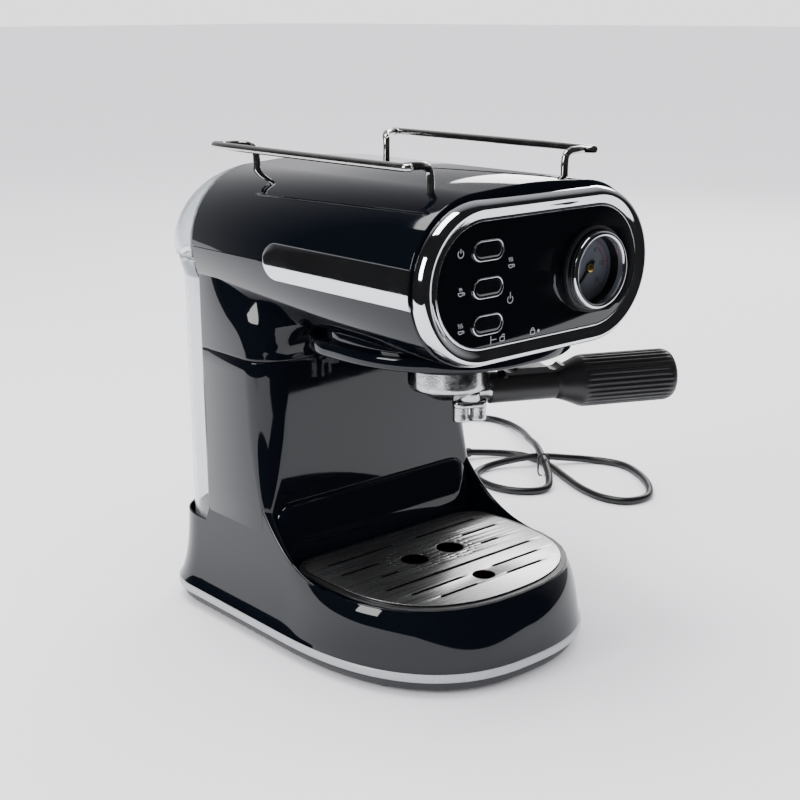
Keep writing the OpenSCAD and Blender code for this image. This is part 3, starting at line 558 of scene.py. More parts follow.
def sheet_of(name: str, outlines: list[np.ndarray], low: float, high: float, round_mm: float,
             standing: bool = False) -> bpy.types.Object:
    """Makes a plate with holes from flat outlines: the first is its edge and the rest its holes.

    The outlines are one filled flat curve, thickened and with its edges rounded, turned into a mesh.

    Args:
        name: the piece's name.
        outlines: closed outlines in plan, or in (x, z) for a standing plate.
        low: the plate's lowest height, or the depth of its front.
        high: its highest height, or the depth of its back.
        round_mm: the radius of its edges.
        standing: whether the plate stands on edge.
    Returns:
        The new object, at the origin.
    """
    curve = bpy.data.curves.new(name, "CURVE")
    curve.dimensions = "2D"
    curve.fill_mode = "BOTH"
    curve.extrude = (high - low) / 2 - round_mm
    curve.bevel_depth = round_mm
    curve.bevel_resolution = 2
    curve.offset = -round_mm
    for outline in outlines:
        spline = curve.splines.new("POLY")
        spline.points.add(len(outline) - 1)
        flat = np.column_stack([outline, np.zeros(len(outline)), np.ones(len(outline))])
        spline.points.foreach_set("co", flat.ravel())
        spline.use_cyclic_u = True
    mesh, (x, flat_y, up) = meshed(curve)
    middle = (low + high) / 2
    stood = np.stack([x, middle - up, flat_y], 1) if standing else np.stack([x, flat_y, middle + up], 1)
    mesh.vertices.foreach_set("co", placed(stood).ravel())
    mesh.name = name
    return finished(name, mesh, 40.0)


def axis_frame(axis: tuple[float, float, float], foot: tuple[float, float, float]) -> np.ndarray:
    """Gives the array that `lathe` wants for an axis through a foot.

    Args:
        axis: the axis's direction.
        foot: the point that height 0 is at.
    Returns:
        Two directions across the axis, the axis and the foot, as columns.
    """
    along = np.array(axis, float) / np.linalg.norm(axis)
    across = np.cross([0.0, 1.0, 0.0] if abs(along[1]) < 0.9 else [0.0, 0.0, 1.0], along)
    across /= np.linalg.norm(across)
    return np.stack([across, np.cross(along, across), along, foot], 1)


def settle(piece: bpy.types.Object, body: Body, finish: Finish, slot: str, *nodes: str) -> bpy.types.Object:
    """Gives a piece its finish and its body, and hides the CAD nodes that it stands for.

    Args:
        piece: the finished piece.
        body: the body that it rides on.
        finish: its finish.
        slot: the record's material slot, which is not used.
        nodes: the CAD nodes that it replaces.
    Returns:
        The piece.
    """
    if not piece.data.materials:
        piece.data.materials.append(finish.build())
    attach(piece, body.value)
    if nodes:
        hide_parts(*nodes)
    LOG.info("%s rides on %s in %s", piece.name, body.value, finish.name)
    return piece


# ---- the camera, the room and the lead ----


@dataclass
class Studio:
    """The camera, a pale floor and soft lights."""

    lens: float = 62.7
    eye: tuple[float, float, float] = (-630.1, -589.6, 435.8)
    azimuth: float = -40.98
    elevation: float = 15.64
    roll: float = -0.26
    surround: float = 2.25
    floor: tuple[float, float, float, float] = (-760.0, -380.0, 30000.0, 40000.0)

    def camera(self) -> None:
        """Puts the camera at its eye point and turns it by azimuth, elevation and roll."""
        a, e, r = (math.radians(v) for v in (self.azimuth, self.elevation, self.roll))
        back = np.array([math.sin(a) * math.cos(e), -math.cos(a) * math.cos(e), math.sin(e)])
        level_right = np.array([math.cos(a), math.sin(a), 0.0])
        level_up = np.cross(back, level_right)
        right = math.cos(r) * level_right + math.sin(r) * level_up
        up = np.cross(back, right)
        turned = np.eye(4)
        turned[:3, :3] = np.stack([right, up, back], 1)
        turned[:3, 3] = placed(np.array(self.eye))
        data = bpy.data.cameras.new("camera")
        data.lens = self.lens
        data.sensor_width = 36.0
        data.clip_end = 50.0
        camera = bpy.data.objects.new("camera", data)
        camera.matrix_world = Matrix(turned.tolist())
        bpy.context.scene.collection.objects.link(camera)
        bpy.context.scene.camera = camera

    def panel(self, name: str, at: tuple[float, float, float], to: tuple[float, float, float],
              size: tuple[float, float], power: float) -> None:
        """Hangs one soft box that faces a point.

        Args:
            name: the light's name.
            at: where it hangs, in metres.
            to: the point that it faces, in metres.
            size: its width and height in metres.
            power: its power in watts.
        """
        data = bpy.data.lights.new(name, "AREA")
        data.shape = "RECTANGLE"
        data.size, data.size_y = size
        data.energy = power
        light = bpy.data.objects.new(name, data)
        away = np.array(at) - np.array(to)
        columns = axis_frame(tuple(away), at)
        turned = np.eye(4)
        turned[:3, :] = columns
        light.matrix_world = Matrix(turned.tolist())
        bpy.context.scene.collection.objects.link(light)

    def room(self) -> None:
        """Lays the floor, hangs the soft boxes and sets the surround.

        The floor starts just outside the view, so that a polished flank mirrors the dark room in front of it.
        The surround is pale to the camera and to matt surfaces. Polished surfaces see it pale behind the
        machine and dark in front, as a backdrop and an unlit room would be.
        """
        near_x, near_y, far_x, far_y = self.floor
        corners = [(near_x, near_y, 0), (far_x, near_y, 0), (far_x, far_y, 0), (near_x, far_y, 0)]
        mesh = bpy.data.meshes.new("floor")
        mesh.from_pydata(placed(np.array(corners, float)), [], [(0, 1, 2, 3)])
        floor = bpy.data.objects.new("floor", mesh)
        bpy.context.scene.collection.objects.link(floor)
        mesh.materials.append(STUDIO_PALE.build())
        self.panel("key_left", (-1.9, 0.25, 0.95), (0, 0, 0.25), (0.9, 0.6), 26)
        self.panel("top", (-0.35, 0.45, 2.2), (0, 0, 0.1), (1.3, 0.9), 40)
        self.panel("rim_right", (1.9, 1.0, 1.2), (0, 0, 0.2), (0.5, 1.2), 20)
        world = bpy.data.worlds.new("studio")
        bpy.context.scene.world = world
        world.use_nodes = True
        tree = world.node_tree
        towards = add(tree, "ShaderNodeTexCoord").outputs["Generated"]
        parts = add(tree, "ShaderNodeSeparateXYZ", {}, {0: towards}).outputs
        behind = add(tree, "ShaderNodeMath", {"operation": "ADD"}, {0: parts["X"], 1: parts["Y"]}).outputs[0]
        mirrored = add(tree, "ShaderNodeMapRange", {"From Min": 0.2, "From Max": 1.25, "To Min": 0.02,
                       "To Max": 0.75}, {"Value": behind}).outputs["Result"]
        polished = add(tree, "ShaderNodeLightPath").outputs["Is Glossy Ray"]
        strength = add(tree, "ShaderNodeMix", {2: self.surround}, {0: polished, 3: mirrored}).outputs[0]
        seen = tree.nodes["Background"]
        seen.inputs["Color"].default_value = linear("#F4F4F7")
        tree.links.new(strength, seen.inputs["Strength"])


@dataclass
class MainsLead:
    """The mains lead: two tied loops and a plug on the floor, and its strain relief."""

    diameter: float = 7.0
    exit: tuple[float, float, float] = (60.0, 332.0, 34.0)
    plug_at: tuple[float, float, float] = (257.0, 388.0, 0.0)
    plug_turn: float = -22.0
    length_m: float = 1.28
    route: tuple[tuple[float, float, float], ...] = (
        (60, 332, 34), (62, 352, 28), (72, 374, 12), (92, 396, 3.6), (130, 424, 3.5), (180, 450, 3.5),
        (235, 470, 3.5), (290, 483, 3.5), (342, 487, 3.5), (382, 478, 3.5), (405, 455, 3.6), (405, 425, 4.6),
        (388, 388, 8), (362, 352, 13), (338, 318, 17.6), (318, 290, 15), (300, 266, 9), (284, 253, 4.2),
        (268, 256, 3.5), (254, 272, 3.5), (250, 296, 3.5), (258, 322, 3.5), (279, 334, 3.8), (304, 328, 7),
        (330, 312, 10.6), (356, 299, 7), (380, 280, 3.8), (390, 252, 3.5), (380, 222, 3.5), (360, 194, 3.5),
        (336, 176, 3.5), (312, 180, 3.5), (303, 202, 3.5), (308, 232, 3.5), (320, 262, 3.5), (333, 292, 3.5),
        (340, 320, 3.5), (336, 345, 3.5), (319, 361, 5), (297.8, 371.5, 7.5))

    def relief(self) -> bpy.types.Object:
        """Turns the tapered strain relief, with grooves round it that let it bend."""
        t = np.linspace(0, 1, 97)
        groove = 0.7 * np.clip(np.sin(TAU * 8 * t), 0, 1) * (t < 0.97)
        taper = np.stack([7.6 - 2.8 * t - groove, 300.6 + 31.4 * t], 1)
        profile = np.vstack([[[5.9, 292.2], [5.9, 300.6]], taper])
        shape = Shape().lathe(profile, axis_frame((0, 1, 0), (60, 0, 34)), 48)
        return settle(shape.build("strain_relief_sleeve"), Body.HOUSING, CORD_PVC, "cord_black",
                      "strain_relief")

    def along_plug(self) -> np.ndarray:
        """Gives the direction in which the lead leaves the plug."""
        a = math.radians(self.plug_turn)
        return np.array([math.cos(a), math.sin(a), 0.0])

    def plug(self) -> tuple[bpy.types.Object, bpy.types.Object]:
        """Makes the round plug: a grip with fine ribs round it, a grooved relief, and two pins."""
        a = np.linspace(0, TAU, 288, endpoint=False)
        heights = np.array([0, 0.8, 2, 14, 15.4, 16, 16.6, 19, 21, 22.0])
        radii = np.array([17.6, 18.6, 19, 19, 18.6, 17.9, 18.2, 18, 17.2, 16.0])
        ribbed = np.array([0, 0, 1, 1, 0, 0, 0, 0, 0, 0])
        radius = radii[:, None] - 0.35 * ribbed[:, None] * (0.5 + 0.5 * np.cos(48 * a))[None]
        run = self.along_plug()
        t = np.linspace(0, 1, 73)
        groove = 0.55 * np.clip(np.sin(TAU * 6 * t), 0, 1) * (t > 0.2)
        foot = np.array(self.plug_at) + [0, 0, 7.5]
        shape = Shape().ribbed(radius, heights, axis_frame((0, 0, 1), self.plug_at))
        shape.lathe(np.stack([7 - 2.4 * t - groove, 12 + 32 * t], 1), axis_frame(tuple(run), tuple(foot)), 40)
        grip = settle(shape.build("plug_body"), Body.HOUSING, CORD_PVC, "cord_black", "plug")
        side = np.array([-run[1], run[0], 0.0]) * 9.5
        pins = Shape()
        profile = np.array([[2.4, 21], [2.4, 38.6], [2.1, 39.8], [1.4, 40.6]])
        for s in (-1, 1):
            pins.lathe(profile, axis_frame((0, 0, 1), tuple(np.array(self.plug_at) + s * side)), 28)
        return grip, settle(pins.build("plug_pins"), Body.HOUSING, CHROME, "zinc_steel")

    def make(self) -> None:
        curve = bpy.data.curves.new("mains_lead", "CURVE")
        curve.dimensions = "3D"
        curve.bevel_depth = self.diameter / 2 * MM
        curve.bevel_resolution = 5
        curve.resolution_u = 8
        curve.use_fill_caps = True
        spline = curve.splines.new("BEZIER")
        spline.bezier_points.add(len(self.route) - 1)
        points = placed(np.array(self.route))
        slope = np.gradient(points, axis=0) / 3
        spline.bezier_points.foreach_set("co", points.ravel())
        for side, way in (("left", -1), ("right", 1)):
            handles = points + way * slope
            handles[:, 2] = np.maximum(handles[:, 2], self.diameter / 2 * MM)
            spline.bezier_points.foreach_set(f"handle_{side}", handles.ravel())
        lead = bpy.data.objects.new("mains_lead", curve)
        bpy.context.scene.collection.objects.link(lead)
        settle(lead, Body.HOUSING, CORD_PVC, "cord_black", "power_cord")
        self.relief()
        grip, pins = self.plug()


# ---- base and column ----


@dataclass
class LowerBody:
    """The plinth, the trim line and the moulded lower housing with its tray well and column."""

    count: int = 480
    trim: tuple[float, float] = (11.0, 17.0)
    deck: float = 57.0
    seam: float = 203.0
    half: float = 99.0
    front: float = 165.0
    back: float = 240.0
    merge: float = 100.0

    def plinth(self) -> None:
        """Lofts the plinth: the base's outline, drawn in under the trim and rounded to the floor."""
        steps = [(-8, 2.5), (-5.2, 2.6), (-3.6, 3.3), (-2.2, 4.8), (-1.2, 7.2), (-0.8, 9.5), (-0.9, 11)]
        rows = np.stack([level(base_outline(g), z) for g, z in steps])
        settle(Shape().grid(rows).build("plinth_skin"), Body.HOUSING, PLINTH_GREY, "plinth_plastic",
               "base_plate")

    def trim_line(self) -> None:
        """Lofts the silver line round the base: a narrow band with rounded edges."""
        low, high = self.trim
        steps = [(-3, low), (1.2, low), (1.8, low + 0.5), (2, low + 1.2), (2, high - 1.2), (1.8, high - 0.5),
                 (1.2, high), (-3, high)]
        rows = np.stack([level(base_outline(g), z) for g, z in steps])
        settle(Shape().grid(rows, loop=True).build("trim_band"), Body.HOUSING, TRIM_SILVER, "silver_trim",
               "base_trim")

    def at_growth(self, grow: np.ndarray, z: np.ndarray) -> np.ndarray:
        """Places a ring on the skirt's family of outlines, each point with its own growth and height."""
        known = np.linspace(-30, 4, 69)
        table = np.stack([skirt_outline(g, self.count) for g in known])
        spot = np.clip((grow - known[0]) / (known[1] - known[0]), 0, len(known) - 1.001)
        low, part = spot.astype(int), (spot % 1)[:, None]
        every = np.arange(self.count)
        return np.column_stack([table[low, every] * (1 - part) + table[low + 1, every] * part, z])

    def skirt(self, shape: Shape) -> None:
        """Adds the skirt, its rim and the tray well.

        Every point of the base's outline carries one profile. In front it leans in to the deck's rim. Beside
        the tray the rim climbs to meet the column, and there the profile is a concave flare, which falls away
        as exp(-height / 20 mm). Behind the column the rim is a low collar round the tank. The rim rolls over
        and the surface drops to the deck, crosses it to the tray's outline and goes down into the well.

        Args:
            shape: the shape to add to.
        """
        y = skirt_outline(-8, self.count)[:, 1]
        climb = np.clip((y - 88) / (self.front + 6 - 88), 0, 1) ** 2.6
        behind = np.clip((y - self.back + 6) / 8, 0, 1)
        behind = behind ** 2 * (3 - 2 * behind)
        roll = 0.7 + 2.2 * climb * (1 - behind)
        top = self.deck - roll + (self.merge - self.deck) * climb * (1 - behind) + 14 * behind
        side = np.clip((y - 60) / 84, 0, 1)
        side = side ** 2 * (3 - 2 * side)

        def grown(part: float) -> tuple[np.ndarray, np.ndarray]:
            """Gives the growth and height of the outer surface at a part of the way up."""
            z = self.trim[1] + (top - self.trim[1]) * part
            in_front = 1 - 8.6 * part ** 1.25 - 4.7 * part ** 7
            beside = -8.4 + 9.4 * np.exp(-(z - self.trim[1]) / 20)
            return in_front * (1 - side) + beside * side, z

        rows = [self.at_growth(np.full(self.count, -3.0), np.full(self.count, self.trim[1]))]
        rows += [self.at_growth(*grown(part)) for part in np.linspace(0, 1, 56)]
        rim, _ = grown(1.0)
        for turn in np.linspace(0, math.pi, 13)[1:]:
            rows.append(self.at_growth(rim - roll * (1 - math.cos(turn)), top + roll * math.sin(turn)))
        inner = rim - 2 * roll
        for part in (0.25, 0.5, 0.75, 1.0):
            z = top + (self.deck - 0.4 - top) * part
            rows.append(self.at_growth(inner - 0.5 * part ** 3, np.minimum(top, z)))
        well = superoval(89.2, 14.8, 145, 2.45, 152, 10, self.count)
        rows += [level(well, self.deck - 0.4), level(well, self.deck - 1.4)]
        rows.append(level(well * [0.985, 0.99] + [0, 0.8], 26))
        rows.append(level(np.array([0, 90]) + 0.02 * (well - [0, 90]), 24))
        shape.grid(np.stack(rows))

    def column_outline(self, corner: float, inset: float, ahead: float = 0.0) -> np.ndarray:
        """Gives the column's outline: rounded front corners of a given radius and small rear ones.

        Args:
            corner: the front corners' radius.
            inset: how far it is drawn in at the sides.
            ahead: how far its front has moved forward.
        Returns:
            Its points in plan.
        """
        w = self.half - inset
        a = np.linspace(0, math.pi / 2, 20)
        curve = np.stack([w - corner + corner * np.sin(a),
                          self.front - ahead + corner - corner * np.cos(a)], 1)
        rear = np.array([[w, self.back - 2.2], [w - 0.6, self.back - 0.8], [w - 2, self.back - 0.2]])
        half = np.vstack([curve, rear])
        return np.vstack([half, half[::-1] * [-1, 1]])

    def column(self, shape: Shape) -> None:
        """Adds the column: its front corners tighten towards the base, and its flanks draw in at mid-height.

        Args:
            shape: the shape to add to.
        """
        near_seam = [self.seam - 1.2, self.seam - 0.5, self.seam - 0.3]
        heights = np.array([45, 92, 100, 106, 114, 124, 136, 150, 165, 180, 192, *near_seam])
        corners = np.interp(heights, [92, 100, 124, 150, 190], [6, 8, 15, 20, 22])
        waist = 0.9 * np.sin(np.clip((heights - 100) / 103, 0, 1) * math.pi)
        waist += np.interp(heights, near_seam, [0, 0.3, 0.9])
        rows = [level(self.column_outline(c, w), z) for c, w, z in zip(corners, waist, heights)]
        shape.grid(np.stack(rows))

    def splash(self, shape: Shape) -> None:
        """Adds the sloping panel under the column's front, with its crease.

        Args:
            shape: the shape to add to.
        """
        line = np.array([[154.6, 56], [155, 62], [160.4, 95.4], [161.2, 97.6], [162.6, 99.2], [166, 100],
                         [172, 100], [172, 56]])
        right = np.array([[74, 0], [79, 0.2], [84, 1.6], [88, 4.5], [91.5, 9.0]])
        rows = [np.column_stack([np.full(len(line), x), np.minimum(line[:, 0] + 0.2 * drop, 172),
                                 np.maximum(line[:, 1] - drop * (line[:, 1] > 60), 56)])
                for x, drop in np.vstack([right[::-1] * [-1, 1], right])]
        shape.grid(np.stack(rows))

    def housing(self) -> None:
        """Makes the lower housing from its skirt, column and splash panel."""
        shape = Shape()
        self.skirt(shape)
        self.column(shape)
        self.splash(shape)
        settle(shape.build("lower_shell", sharp=50), Body.HOUSING, PIANO_BLACK, "gloss_black",
               "lower_housing")

    def make(self) -> None:
        """Makes the plinth, the trim line and the housing."""
        self.plinth()
        self.trim_line()
        self.housing()


# ---- head ----


@dataclass
class Head:
    """The head's two shells, the underplate, the side strips and the drain tube."""

    half: float = 103.0
    radius: float = 53.0
    centre: float = 277.0
    front: float = 9.0
    back: float = 240.0
    crown: float = 3.0
    split: float = 0.25

    def section(self, upper: bool, inset: float = 0.0) -> np.ndarray:
        """Gives half of the head's stadium section, above or below its split line.

        The top is crowned by crown * cos^2(pi x / 150), faded in with height.

        Args:
            upper: whether it is the half above the split.
            inset: how far it is drawn in.
        Returns:
            Its (x, z) points.
        """
        r = self.radius - inset
        middle = self.half - self.radius
        a = np.linspace(math.asin(self.split / r), math.pi / 2, 40)
        arc = np.stack([middle + r * np.cos(a), r * np.sin(a)], 1)
        flat = np.stack([np.linspace(middle, -middle, 26)[1:-1], np.full(24, r)], 1)
        half = np.vstack([arc, flat, arc[::-1] * [-1, 1]])
        if not upper:
            half[:, 1] *= -1
        else:
            arch = np.cos(math.pi * np.clip(half[:, 0] / 150, -0.5, 0.5)) ** 2
            half[:, 1] += self.crown * arch * (half[:, 1] / r) ** 2
        return half + [0, self.centre]

    def shell(self, upper: bool) -> Shape:
        """Carries a half section back, with its front and rear edges rounded.

        Args:
            upper: whether it is the upper shell.
        Returns:
            The closed shape.
        """
        steps = [(self.front, 1.0), (self.front + 0.3, 0.3), (self.front + 1, 0.0), (self.back - 1.4, 0.0),
                 (self.back - 0.5, 0.35), (self.back - 0.1, 1.1)]
        return Shape().grid(np.stack([upright(self.section(upper, inset), y) for y, inset in steps]))

    def shells(self) -> None:
        """Makes the cover, and the lower shell with the top of the column."""
        settle(self.shell(True).build("head_cover", sharp=50), Body.HOUSING, PIANO_BLACK, "gloss_black",
               "top_cover")
        lower = self.shell(False)
        column = LowerBody()
        blend = catmull(np.array([[column.seam + 1.2, 22, 0], [208, 22, 0], [212, 23, 0.6], [217, 27, 2.4],
                                  [222, 34, 6], [226, 42, 10.5], [230, 50, 15], [238, 60, 18], [250, 68, 19],
                                  [264, 72, 19]]), 3)
        rows = [level(column.column_outline(22, 0.9), column.seam + 0.3),
                level(column.column_outline(22, 0.3), column.seam + 0.5)]
        rows += [level(column.column_outline(corner, 0, ahead), z) for z, corner, ahead in blend]
        lower.grid(np.stack(rows))
        settle(lower.build("head_lower_shell", sharp=50), Body.HOUSING, PIANO_BLACK, "gloss_black",
               "upper_housing")

    def underplate(self) -> None:
        """Makes the underplate: a rounded slab with the brewing group's hole, and the neck above it."""
        hole = stadium(74.6, 74.59, 96) + [0, 86]
        plates = []
        for name, inset, rear, low, high in (("underplate_slab", 0, 158, 217, 226.4),
                                             ("underplate_neck", 6, 147, 225.4, 234)):
            edge = superoval(86 - inset, 6 + inset, 100, 2.3, rear, 44, 360)
            plates.append(sheet_of(name, [edge, hole], low, high, 0.3 if inset else 2.4))
        settle(plates[0], Body.HOUSING, PIANO_BLACK, "gloss_black", "head_underplate")
        settle(plates[1], Body.HOUSING, PIANO_BLACK, "gloss_black")

    def strips(self) -> None:
        """Makes the chrome side strips: a thin band of the head's flank, with a round rear end."""
        round_y, tall = 141, 12.5
        y = np.concatenate([np.linspace(9.3, round_y, 12)[:-1],
                            round_y + tall * np.sin(np.linspace(0, 1, 18) * math.pi / 2)])
        reach = np.where(y < round_y, tall, np.sqrt(np.maximum(tall ** 2 - (y - round_y) ** 2, 0.01)))
        edge = np.array([1, 1, 0.985, 0.95, 0.5, 0, -0.5, -0.95, -0.985, -1, -1])
        lift = np.array([-0.5, 0.4, 0.75, 0.95, 1, 1, 1, 0.95, 0.75, 0.4, -0.5])
        z = reach[:, None] * edge[None]
        fade = np.ones(len(y))
        fade[-3:] = [0.9, 0.7, 0.4]
        x = np.sqrt((self.radius + lift[None] * fade[:, None]) ** 2 - z ** 2) + self.half - self.radius
        for name, side in (("strip_left", -1), ("strip_right", 1)):
            rows = np.stack([side * x, np.repeat(y[:, None], len(edge), 1), z + self.centre + 1], -1)
            settle(Shape().grid(rows).build(name + "_chrome", sharp=60), Body.HOUSING, CHROME,
                   "chrome_plate", name)

    def tube(self) -> None:
        """Turns the drain tube that hangs under the head."""
        profile = np.array([[2, 200], [3, 200], [3.4, 200.5], [3.4, 238], [2, 238]])
        shape = Shape().lathe(profile, axis_frame((0, 0, 1), (-48, 150, 0)), 40, loop=True)
        settle(shape.build("drain_tube_turned"), Body.HOUSING, RUBBER, "black_rubber", "drain_tube")

    def make(self) -> None:
        """Makes every piece of the head."""
        self.shells()
        self.underplate()
        self.strips()
        self.tube()


@dataclass
class CupRails:
    """The two stainless cup rails."""

    foot: float = 60.0
    bar: float = 84.0
    height: float = 346.0
    stations: tuple[float, float] = (38.0, 219.0)
    radius: float = 2.6

    def make(self) -> None:
        """Bends each rail along its path and sets it in its two holes."""
        near, far = self.stations
        for name, s in (("cup_rail_left", -1), ("cup_rail_right", 1)):
            foot, bar, bend, z = s * self.foot, s * self.bar, s * 10, self.height
            path = [(foot, near, 318), (foot, near, z - 6), (foot + bend * 0.4, near, z - 1),
                    (foot + bend, near - 1, z), (bar - bend * 0.6, near + 1, z), (bar, near + 10, z),
                    (bar, far + 2, z), (bar - bend * 0.6, far + 10, z), (foot + bend, far + 9, z),
                    (foot + bend * 0.3, far + 4, z - 1), (foot, far, z - 6), (foot, far, 318)]
            shape = Shape().tube(catmull(np.array(path, float), 10), self.radius, 28)
            settle(shape.build(name + "_rod"), Body.HOUSING, ROD, "stainless_rod", name)


# ---- fascia ----


@dataclass
class Fascia:
    """The chrome surround, the black panel, its printed marks, the buttons and the gauge."""

    middle: float = 276.0
    arc_x: float = 50.4
    panel_r: float = 38.5
    button: tuple[float, float] = (-47.7, 297.2)
    pitch: float = 22.7
    gauge: tuple[float, float] = (46.3, 274.6)

    def ring(self, r: float, count: int = 160) -> np.ndarray:
        """Gives the surround's stadium outline at a radius, centred on the fascia."""
        return stadium(2 * (self.arc_x + r), 2 * r, count) + [0, self.middle]

    def surround(self) -> None:
        """Sweeps the surround's section round the head: a full rim outside, a long slope in to a fine lip."""
        section = catmull(np.array([[51.1, 9], [51.3, 6.5], [50.9, 3.4], [49.9, 0.6], [48.4, -1.3],
                                    [46.6, -1.95], [44.6, -1.4], [42.4, -0.2], [40.4, 0.7], [39.5, 0.5],
                                    [39.1, -0.2], [38.8, -0.1], [38.7, 0.8], [38.7, 9]]), 4)
        rows = np.stack([upright(self.ring(r), y) for r, y in section])
        settle(Shape().grid(rows, loop=True).build("chrome_surround", sharp=60), Body.HOUSING, CHROME,
               "chrome_plate", "front_bezel")

    def button_spots(self) -> list[tuple[float, float]]:
        """Gives the centres of the three buttons, from the top."""
        return [(self.button[0], self.button[1] - i * self.pitch) for i in range(3)]

    def panel(self) -> None:
        """Makes the panel, with its holes for the buttons and the gauge."""
        outlines = [self.ring(self.panel_r)]
        outlines += [stadium(24.2, 11.2) + spot for spot in self.button_spots()]
        outlines.append(stadium(51.0, 50.99, 96) + self.gauge)
        settle(sheet_of("panel_acrylic", outlines, 0, 3, 0.25, standing=True), Body.HOUSING, PANEL_BLACK,
               "panel_black", "control_panel")

    def buttons(self) -> None:
        """Makes the three buttons and the chrome frame round each."""
        frames = Shape()
        for spot in self.button_spots():
            lip = catmull(np.array([[0.0, 0.05], [0.02, -0.9], [-0.5, -1.4], [-1.1, -1.15], [-1.45, -0.3],
                                    [-1.5, 0.05]]), 3)
            rows = [upright(stadium(25.8 + 2 * inset, 13 + 2 * inset, 64) + spot, y) for inset, y in lip]
            frames.grid(np.stack(rows), loop=True)
        settle(frames.build("button_frames_chrome", sharp=60), Body.HOUSING, CHROME, "chrome_plate",
               "button_frames")
        names = (("button_power", Body.POWER), ("button_brew", Body.BREW), ("button_steam", Body.STEAM))
        for (name, body), spot in zip(names, self.button_spots()):
            cap = catmull(np.array([[-1.2, 5], [-1.2, -0.6], [-1.5, -1.35], [-2.4, -1.75], [-3.4, -1.88],
                                    [-4.7, -1.95]]), 3)
            rows = [upright(stadium(22 + 2.4 + 2 * i, 9.2 + 2.4 + 2 * i, 64) + spot, y) for i, y in cap]
            settle(Shape().grid(np.stack(rows)).build(name + "_cap", sharp=60), body, BUTTON_BLACK,
                   "panel_black", name)

    def marks(self) -> None:
        """Prints the marks beside the buttons and the two lock marks under them."""
        shape = Shape()
        wide = 0.45

        def arc(x: float, z: float, r: float, a0: float, a1: float) -> None:
            """Prints part of a circle between two angles in degrees."""
            a = np.radians(np.linspace(a0, a1, 28))
            shape.ribbon(np.stack([x + r * np.cos(a), z + r * np.sin(a)], 1), wide, 0.0)

        def line(*points: tuple[float, float]) -> None:
            """Prints straight strokes through points."""
            for p, q in zip(points, points[1:]):
                shape.ribbon(np.array([p, q]), wide, 0.0)

        def cup(x: float, z: float, s: float) -> None:
            """Prints a small cup with a handle."""
            line((x - 2.2 * s, z), (x + 2.2 * s, z))
            arc(x, z, 2.0 * s, 180, 360)
            arc(x + 2.5 * s, z - 0.8 * s, 0.8 * s, -100, 100)

        def steam(x: float, z: float, s: float) -> None:
            """Prints three wavy lines of steam."""
            for k in (-1, 0, 1):
                t = np.linspace(0, 1, 14)
                wave = np.stack([x + k * 1.3 * s + 0.4 * s * np.sin(TAU * t), z + 2.6 * s * t], 1)
                shape.ribbon(wave, wide * 0.8, 0.0)

        x, (z0, z1, z2) = -70.0, [z for _, z in self.button_spots()]
        arc(x, z0, 2.3, 125, 415)
        line((x, z0 + 0.4), (x, z0 + 3.1))
        cup(x, z1 - 0.6, 1.0)
        steam(x, z1 + 0.6, 0.7)
        steam(x, z2 + 0.6, 1.1)
        cup(x, z2 - 1.2, 0.9)
        cup(-28.0, 286, 0.95)
        steam(-28.0, 288, 1.0)
        arc(-28.0, 264.4, 2.3, 125, 415)
        line((-28.0, 265), (-28.0, 269))
        line((-44.3, 244), (-44.3, 238.6))
        line((-44.3, 241.3), (-39.5, 241.3))
        for px, start in ((-34.5, 20), (-7.5, 0)):
            line((px - 1.9, 239.4), (px + 1.9, 239.4), (px + 1.9, 242), (px - 1.9, 242), (px - 1.9, 239.4))
            arc(px + (0.9 if start else 0), 242.2, 1.3, start, 180)
        for r in (0.3, 0.75):
            arc(-2.2, 240.9, r, 0, 360)
        settle(shape.build("panel_prints", sharp=80), Body.HOUSING, INK_GREY, "silver_trim")

    def gauge_ring(self) -> None:
        """Turns the gauge's chrome ring, its dark inner wall and the black collar behind it."""
        turn = axis_frame((0, -1, 0), (self.gauge[0], 0, self.gauge[1]))
        ring = catmull(np.array([[25.0, 3.6], [25.3, 5.4], [25.35, 7.2], [24.9, 8.5], [23.9, 9.3],
                                 [22.8, 9.3], [22.0, 8.6], [21.6, 7.6], [21.5, 6.4], [21.5, 3.6]]), 4)
        settle(Shape().lathe(ring, turn, 120, loop=True).build("gauge_ring_chrome", sharp=60), Body.HOUSING,
               CHROME, "chrome_plate", "gauge_bezel")
        collar = catmull(np.array([[28.2, 0.05], [28.2, 1.8], [27.6, 3.0], [26.4, 3.6], [25.0, 3.7],
                                   [24.4, 2.0], [24.4, 0.05]]), 4)
        settle(Shape().lathe(collar, turn, 120, loop=True).build("gauge_collar", sharp=60), Body.HOUSING,
               PIANO_BLACK, "gloss_black")

    def dial_point(self, angle: np.ndarray | float, r: float) -> np.ndarray:
        """Gives the (x, z) point on the dial at an angle clockwise from straight up, in degrees."""
        a = np.radians(angle)
        return np.stack([self.gauge[0] + r * np.sin(a), self.gauge[1] + r * np.cos(a)], -1)

